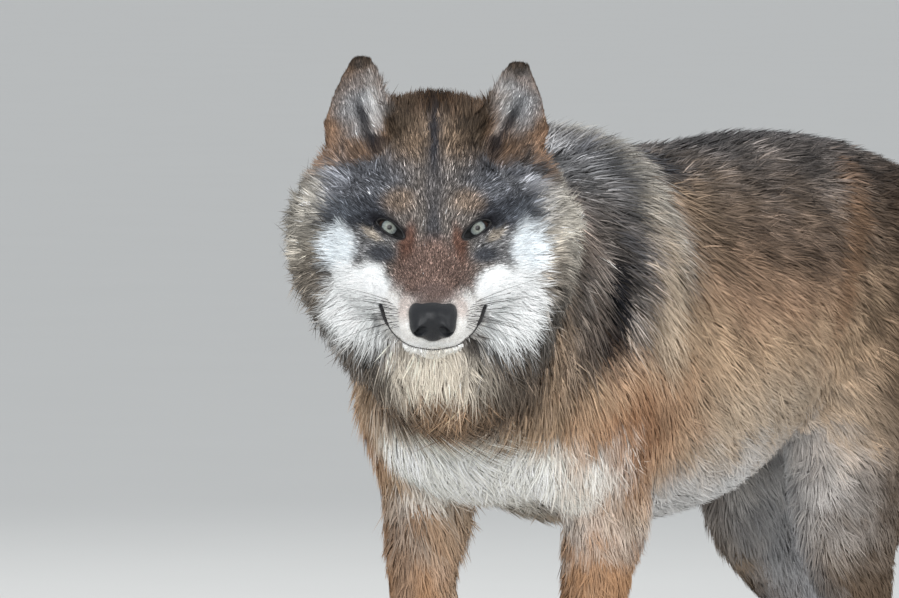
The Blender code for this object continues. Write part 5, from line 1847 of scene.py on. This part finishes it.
# ---- claws and whiskers
def claw_points(sides=14, rings=10):
    """A curved tapered claw along z with its root at the origin, as (points, faces)."""
    share = np.linspace(0, 1, rings)
    radius = CLAW_RADIUS * (1 - 0.8 * share**1.3)
    z = share * CLAW_LENGTH
    turn = np.linspace(0, 2 * math.pi, sides, endpoint=False)
    x = radius[:, None] * np.cos(turn) * 0.75
    y = radius[:, None] * np.sin(turn) - (CLAW_CURVE * z * z / CLAW_LENGTH)[:, None]
    tube_points = np.stack([x, y, np.broadcast_to(z[:, None], x.shape)], axis=2).reshape(-1, 3)
    ends = np.array([[0, 0, 0], [0, y[-1].mean(), CLAW_LENGTH * 1.02]])
    points = np.concatenate([tube_points, ends])
    faces = [tuple(face) for face in np.roll(grid_faces(rings, sides)[:, ::-1], 1, axis=1)]
    root, tip = rings * sides, rings * sides + 1
    last = (rings - 1) * sides
    for j in range(sides):
        faces.append((root, (j + 1) % sides, j))
        faces.append((tip, last + j, last + (j + 1) % sides))
    return points, faces


def build_claws(settings):
    """Four curved claws on each paw."""
    material = horn_material()
    unit, unit_faces = claw_points()
    for foot, legs, size in (("fore", FORELEGS, 1.0), ("hind", HIND_LEGS, HIND_PAW)):
        for name, leg in legs.items():
            points, faces = [], []
            for across, back in TOES:
                x = leg["side"] * FOOT_OUT + across * size
                at = (x, leg["toes"] + (back + 0.009) * size, TOE_HEIGHT * size)
                pitch = Matrix.Rotation(math.radians(CLAW_PITCH), 4, "X")
                place = Matrix.Translation(at) @ pitch @ Matrix.Scale(size, 4)
                faces += [tuple(len(points) + k for k in face) for face in unit_faces]
                points += [place @ Vector(point) for point in unit]
            mesh = bpy.data.meshes.new(f"claws_{foot}_{name}")
            mesh.from_pydata(points, [], faces)
            mesh.shade_smooth()
            replaced = [f"claw_{foot}_{name}_{number}" for number in range(1, 5)]
            finish_piece(new_object(mesh.name, mesh), material, "claw", *replaced)


def build_whiskers(settings):
    """Stiff dark whiskers in four rows on each side of the muzzle."""
    random = np.random.default_rng(settings.seed + 1)
    masses = head_masses()
    points, faces = [], []
    total = 0
    for side in (1, -1):
        for row in range(4):
            for k in range(6):
                z = -0.041 - 0.0062 * row - 0.0012 * k + 0.001 * random.normal()
                y = -0.104 + 0.0085 * k + 0.0012 * random.normal()
                root = np.array([[side * 0.045, y, z]])
                root = settled(root, [(Matrix.Identity(4), masses, [])], -0.001, 6, bare_distance)[0]
                long = settings.whisker_length * (0.45 + 0.5 * k / 5) * (1 + 0.15 * random.normal())
                back = 0.1 + 0.1 * k + 0.12 * random.normal()
                out = np.array([side * 0.95, back, 0.16 - 0.16 * row + 0.1 * random.normal()])
                out /= np.linalg.norm(out)
                share = np.linspace(0, 1, 9)[:, None]
                line = root + out * long * share + np.array([0, 0.34, -0.22]) * long * share**2
                radii = 0.00026 * (1 - 0.85 * share[:, 0])
                made, made_faces = tube(line, radii, 4, closed=False)
                faces.append(made_faces + total)
                points.append(made)
                total += len(made)
    mesh = mesh_of("whiskers", np.concatenate(points), np.concatenate(faces))
    mesh.transform(HEAD_MATRIX)
    material = leather_material("whisker_horn", (0.02, 0.018, 0.018), 0.5, 0.0, 4000.0, 0.1)
    finish_piece(new_object("whiskers", mesh), material, "coat_head")


# ---- the studio
def build_stage(settings):
    scene = bpy.context.scene
    scene.view_settings.view_transform = "Standard"
    bpy.ops.mesh.primitive_plane_add(size=240.0)
    floor = bpy.context.active_object
    floor.name = "studio_floor"
    material, tree, surface = new_material("studio_paper")
    where = add_node(tree, "ShaderNodeTexCoord")
    grain = add_node(tree, "ShaderNodeTexNoise")
    grain.inputs["Scale"].default_value = 3.0
    wire(where, "Object", grain, "Vector")
    low = tuple(channel * 0.97 for channel in settings.floor_colour)
    shade = mixed(tree, "MIX", grain.outputs["Fac"], (*low, 1), (*settings.floor_colour, 1))
    tree.links.new(shade, surface.inputs["Base Color"])
    surface.inputs["Roughness"].default_value = 0.9
    floor.data.materials.append(material)
    world = bpy.data.worlds.new("studio")
    scene.world = world
    world.use_nodes = True
    sky = world.node_tree.nodes["Background"]
    sky.inputs["Color"].default_value = (0.93, 0.96, 1.0, 1.0)
    sky.inputs["Strength"].default_value = settings.fill
    for name, at, size, power in (
        ("key_light", (1.4, -3.5, 1.6), 2.6, settings.key),
        ("top_light", (0.0, 0.4, 3.8), 3.0, settings.key * 0.16),
        ("side_light", (3.6, -0.9, 1.4), 2.2, settings.key * 0.45),
        ("back_light", (-2.6, 2.6, 2.6), 2.2, settings.key * 0.3),
    ):
        lamp = bpy.data.lights.new(name, "AREA")
        lamp.energy = power
        lamp.size = size
        holder = bpy.data.objects.new(name, lamp)
        holder.location = at
        aim = Vector((0, -0.1, 0.5)) - Vector(at)
        holder.rotation_mode = "QUATERNION"
        holder.rotation_quaternion = aim.to_track_quat("-Z", "Y")
        scene.collection.objects.link(holder)
    build_camera(settings)


def build_camera(settings):
    """The camera, which looks at the face from its front and holds the head left of the middle."""
    turn, dip, away = settings.camera_turn, settings.camera_dip, settings.camera_distance
    ahead = Vector((-math.sin(turn) * math.cos(dip), math.cos(turn) * math.cos(dip), -math.sin(dip)))
    right = Vector((math.cos(turn), math.sin(turn), 0))
    up = right.cross(ahead)
    # the face stands this far left of and above the middle of the view
    at = BETWEEN_EYES - away * ahead + settings.face_left * right - settings.face_up * up
    lens = bpy.data.cameras.new("camera")
    lens.sensor_width = 36.0
    lens.lens = settings.camera_lens
    lens.clip_end = 300.0
    camera = bpy.data.objects.new("camera", lens)
    camera.matrix_world = Matrix.Translation(at) @ Matrix((right, up, -ahead)).transposed().to_4x4()
    bpy.context.scene.collection.objects.link(camera)
    bpy.context.scene.camera = camera


# ---- settings
class WolfSkinSettings(bpy.types.PropertyGroup):
    """Sizes of the skin and the nose."""

    skin_mesh: FloatProperty(
        name="Skin mesh", description="Width of the faces of the skin on the body", default=0.0042, min=0.002,
        max=0.02, unit="LENGTH", precision=4)
    nose_mesh: FloatProperty(
        name="Nose mesh", description="Width of the faces of the nose", default=0.0009, min=0.0004, max=0.004,
        unit="LENGTH", precision=4)
    coat_depth: FloatProperty(
        name="Coat depth", description="Share of the coat's full depth that the skin lies under the tips",
        default=1.0, min=0.2, max=1.5, subtype="FACTOR")
    nose_colour: FloatVectorProperty(
        name="Nose", description="Colour of the bare nose", default=(0.007, 0.0082, 0.011), size=3,
        subtype="COLOR", min=0.0, max=1.0)


class WolfCoatSettings(bpy.types.PropertyGroup):
    """Amounts and sizes of the tufts."""

    tufts: IntProperty(
        name="Tufts", description="Number of tufts over the whole body", default=470000, min=1000, max=480000)
    tuft_width: FloatProperty(
        name="Tuft width", description="Width of the tufts as a share of their usual width", default=1.0,
        min=0.2, max=4.0, subtype="FACTOR")
    clumping: FloatProperty(
        name="Clumping", description="How far the tufts of a lock close on each other", default=0.34, min=0.0,
        max=1.0, subtype="FACTOR")
    coat_depth: FloatProperty(
        name="Coat depth", description="Share of the coat's full depth that the tufts rise from the skin",
        default=1.0, min=0.2, max=1.5, subtype="FACTOR")
    seed: IntProperty(name="Seed", description="Start of the random draws of the coat", default=7, min=0)


class WolfFaceSettings(bpy.types.PropertyGroup):
    """The eyes, the lids and the whiskers."""

    iris_width: FloatProperty(
        name="Iris width", description="Width of the coloured ring", default=0.0156, min=0.008, max=0.02,
        unit="LENGTH", precision=4)
    pupil_width: FloatProperty(
        name="Pupil width", description="Width of the pupil", default=0.0047, min=0.001, max=0.01,
        unit="LENGTH", precision=4)
    iris_inner: FloatVectorProperty(
        name="Inner iris", description="Colour of the iris by the pupil", default=(0.25, 0.26, 0.21), size=3,
        subtype="COLOR", min=0.0, max=1.0)
    iris_outer: FloatVectorProperty(
        name="Outer iris", description="Colour of the iris by its rim", default=(0.15, 0.175, 0.185), size=3,
        subtype="COLOR", min=0.0, max=1.0)
    lid_edge: FloatProperty(
        name="Lid edge", description="Radius of the black edge of the lids", default=0.0008, min=0.0003,
        max=0.004, unit="LENGTH", precision=4)
    lip_edge: FloatProperty(
        name="Lip edge", description="Radius of the black edge of the lips", default=0.0007, min=0.0003,
        max=0.004, unit="LENGTH", precision=4)
    whisker_length: FloatProperty(
        name="Whisker length", description="Length of the longest whiskers", default=0.075, min=0.01,
        max=0.15, unit="LENGTH")
    seed: IntProperty(name="Seed", description="Start of the random draws of the whiskers", default=7, min=0)


class WolfStageSettings(bpy.types.PropertyGroup):
    """The studio and the camera."""

    floor_colour: FloatVectorProperty(
        name="Floor", description="Colour of the paper floor", default=(0.62, 0.62, 0.6), size=3,
        subtype="COLOR", min=0.0, max=1.0)
    fill: FloatProperty(name="Fill", description="Strength of the light from all sides", default=0.8, min=0.0)
    key: FloatProperty(
        name="Key", description="Power of the main light", default=110.0, min=0.0, unit="POWER")
    camera_turn: FloatProperty(
        name="Camera turn", description="How far to the wolf's left the camera stands",
        default=math.radians(35.0), subtype="ANGLE")
    camera_dip: FloatProperty(
        name="Camera dip", description="How far the camera looks down", default=math.radians(3.5),
        subtype="ANGLE")
    camera_distance: FloatProperty(
        name="Camera distance", description="From the camera to the eyes", default=8.0, min=1.0,
        unit="LENGTH")
    camera_lens: FloatProperty(name="Lens", description="Length of the lens in mm", default=348.2, min=20.0)
    face_left: FloatProperty(
        name="Face left", description="How far the face stands left of the middle", default=0.0147,
        unit="LENGTH")
    face_up: FloatProperty(
        name="Face up", description="How far the face stands above the middle", default=0.0649, unit="LENGTH")


# ---- operators and panel
class WOLF_OT_skin(bpy.types.Operator):
    """Lay one skin over all the flesh of the wolf"""

    bl_idname = "wolf.skin"
    bl_label = "Skin"

    def execute(self, context):
        settings = context.scene.wolf_skin
        skin = build_skin(settings)
        set_colours(skin.data, skin_colours(points_of(skin.data)))
        finish_piece(skin, hair_material("coat_skin", 1100.0, 0.8, 0.7), "coat_body", *FLESH)
        return {"FINISHED"}


class WOLF_OT_coat(bpy.types.Operator):
    """Grow the tufts of the coat on the skin"""

    bl_idname = "wolf.coat"
    bl_label = "Coat"

    def execute(self, context):
        build_coat(context.scene.wolf_coat)
        return {"FINISHED"}


class WOLF_OT_eyes(bpy.types.Operator):
    """Make the eyeballs"""

    bl_idname = "wolf.eyes"
    bl_label = "Eyes"

    def execute(self, context):
        build_eyes(context.scene.wolf_face)
        return {"FINISHED"}


class WOLF_OT_lids(bpy.types.Operator):
    """Edge the eyes with black lids"""

    bl_idname = "wolf.lids"
    bl_label = "Lids"

    def execute(self, context):
        build_lids(context.scene.wolf_face)
        return {"FINISHED"}


class WOLF_OT_nose(bpy.types.Operator):
    """Make the bare nose"""

    bl_idname = "wolf.nose"
    bl_label = "Nose"

    def execute(self, context):
        build_nose(context.scene.wolf_skin)
        return {"FINISHED"}


class WOLF_OT_claws(bpy.types.Operator):
    """Make the claws of the four paws"""

    bl_idname = "wolf.claws"
    bl_label = "Claws"

    def execute(self, context):
        build_claws(context.scene.wolf_face)
        return {"FINISHED"}


class WOLF_OT_whiskers(bpy.types.Operator):
    """Set the whiskers in the muzzle"""

    bl_idname = "wolf.whiskers"
    bl_label = "Whiskers"

    def execute(self, context):
        build_whiskers(context.scene.wolf_face)
        return {"FINISHED"}


class WOLF_OT_stage(bpy.types.Operator):
    """Set up the floor, the lights and the camera"""

    bl_idname = "wolf.stage"
    bl_label = "Studio"

    def execute(self, context):
        build_stage(context.scene.wolf_stage)
        return {"FINISHED"}


PIECE_OPERATORS = (
    WOLF_OT_stage, WOLF_OT_skin, WOLF_OT_coat, WOLF_OT_eyes, WOLF_OT_lids, WOLF_OT_nose, WOLF_OT_claws,
    WOLF_OT_whiskers,
)


class WOLF_PT_panel(bpy.types.Panel):
    """The wolf's pieces, in the order they are made"""

    bl_label = "Grey wolf"
    bl_idname = "WOLF_PT_panel"
    bl_space_type = "VIEW_3D"
    bl_region_type = "UI"
    bl_category = "Wolf"

    def draw(self, context):
        for operator in PIECE_OPERATORS:
            self.layout.operator(operator.bl_idname)
        for settings in (context.scene.wolf_skin, context.scene.wolf_coat, context.scene.wolf_face,
                         context.scene.wolf_stage):
            box = self.layout.box()
            for name in settings.bl_rna.properties.keys():
                if name not in ("rna_type", "name"):
                    box.prop(settings, name)


SETTINGS = {
    "wolf_skin": WolfSkinSettings,
    "wolf_coat": WolfCoatSettings,
    "wolf_face": WolfFaceSettings,
    "wolf_stage": WolfStageSettings,
}


def register():
    for made in (*SETTINGS.values(), *PIECE_OPERATORS, WOLF_PT_panel):
        bpy.utils.register_class(made)
    for name, made in SETTINGS.items():
        setattr(bpy.types.Scene, name, PointerProperty(type=made))


def unregister():
    for name in SETTINGS:
        delattr(bpy.types.Scene, name)
    for made in reversed((*SETTINGS.values(), *PIECE_OPERATORS, WOLF_PT_panel)):
        bpy.utils.unregister_class(made)


def main():
    register()
    for operator in PIECE_OPERATORS:
        group, name = operator.bl_idname.split(".")
        getattr(getattr(bpy.ops, group), name)()


GROWTHS = growths()

if __name__ == "__main__":
    main()
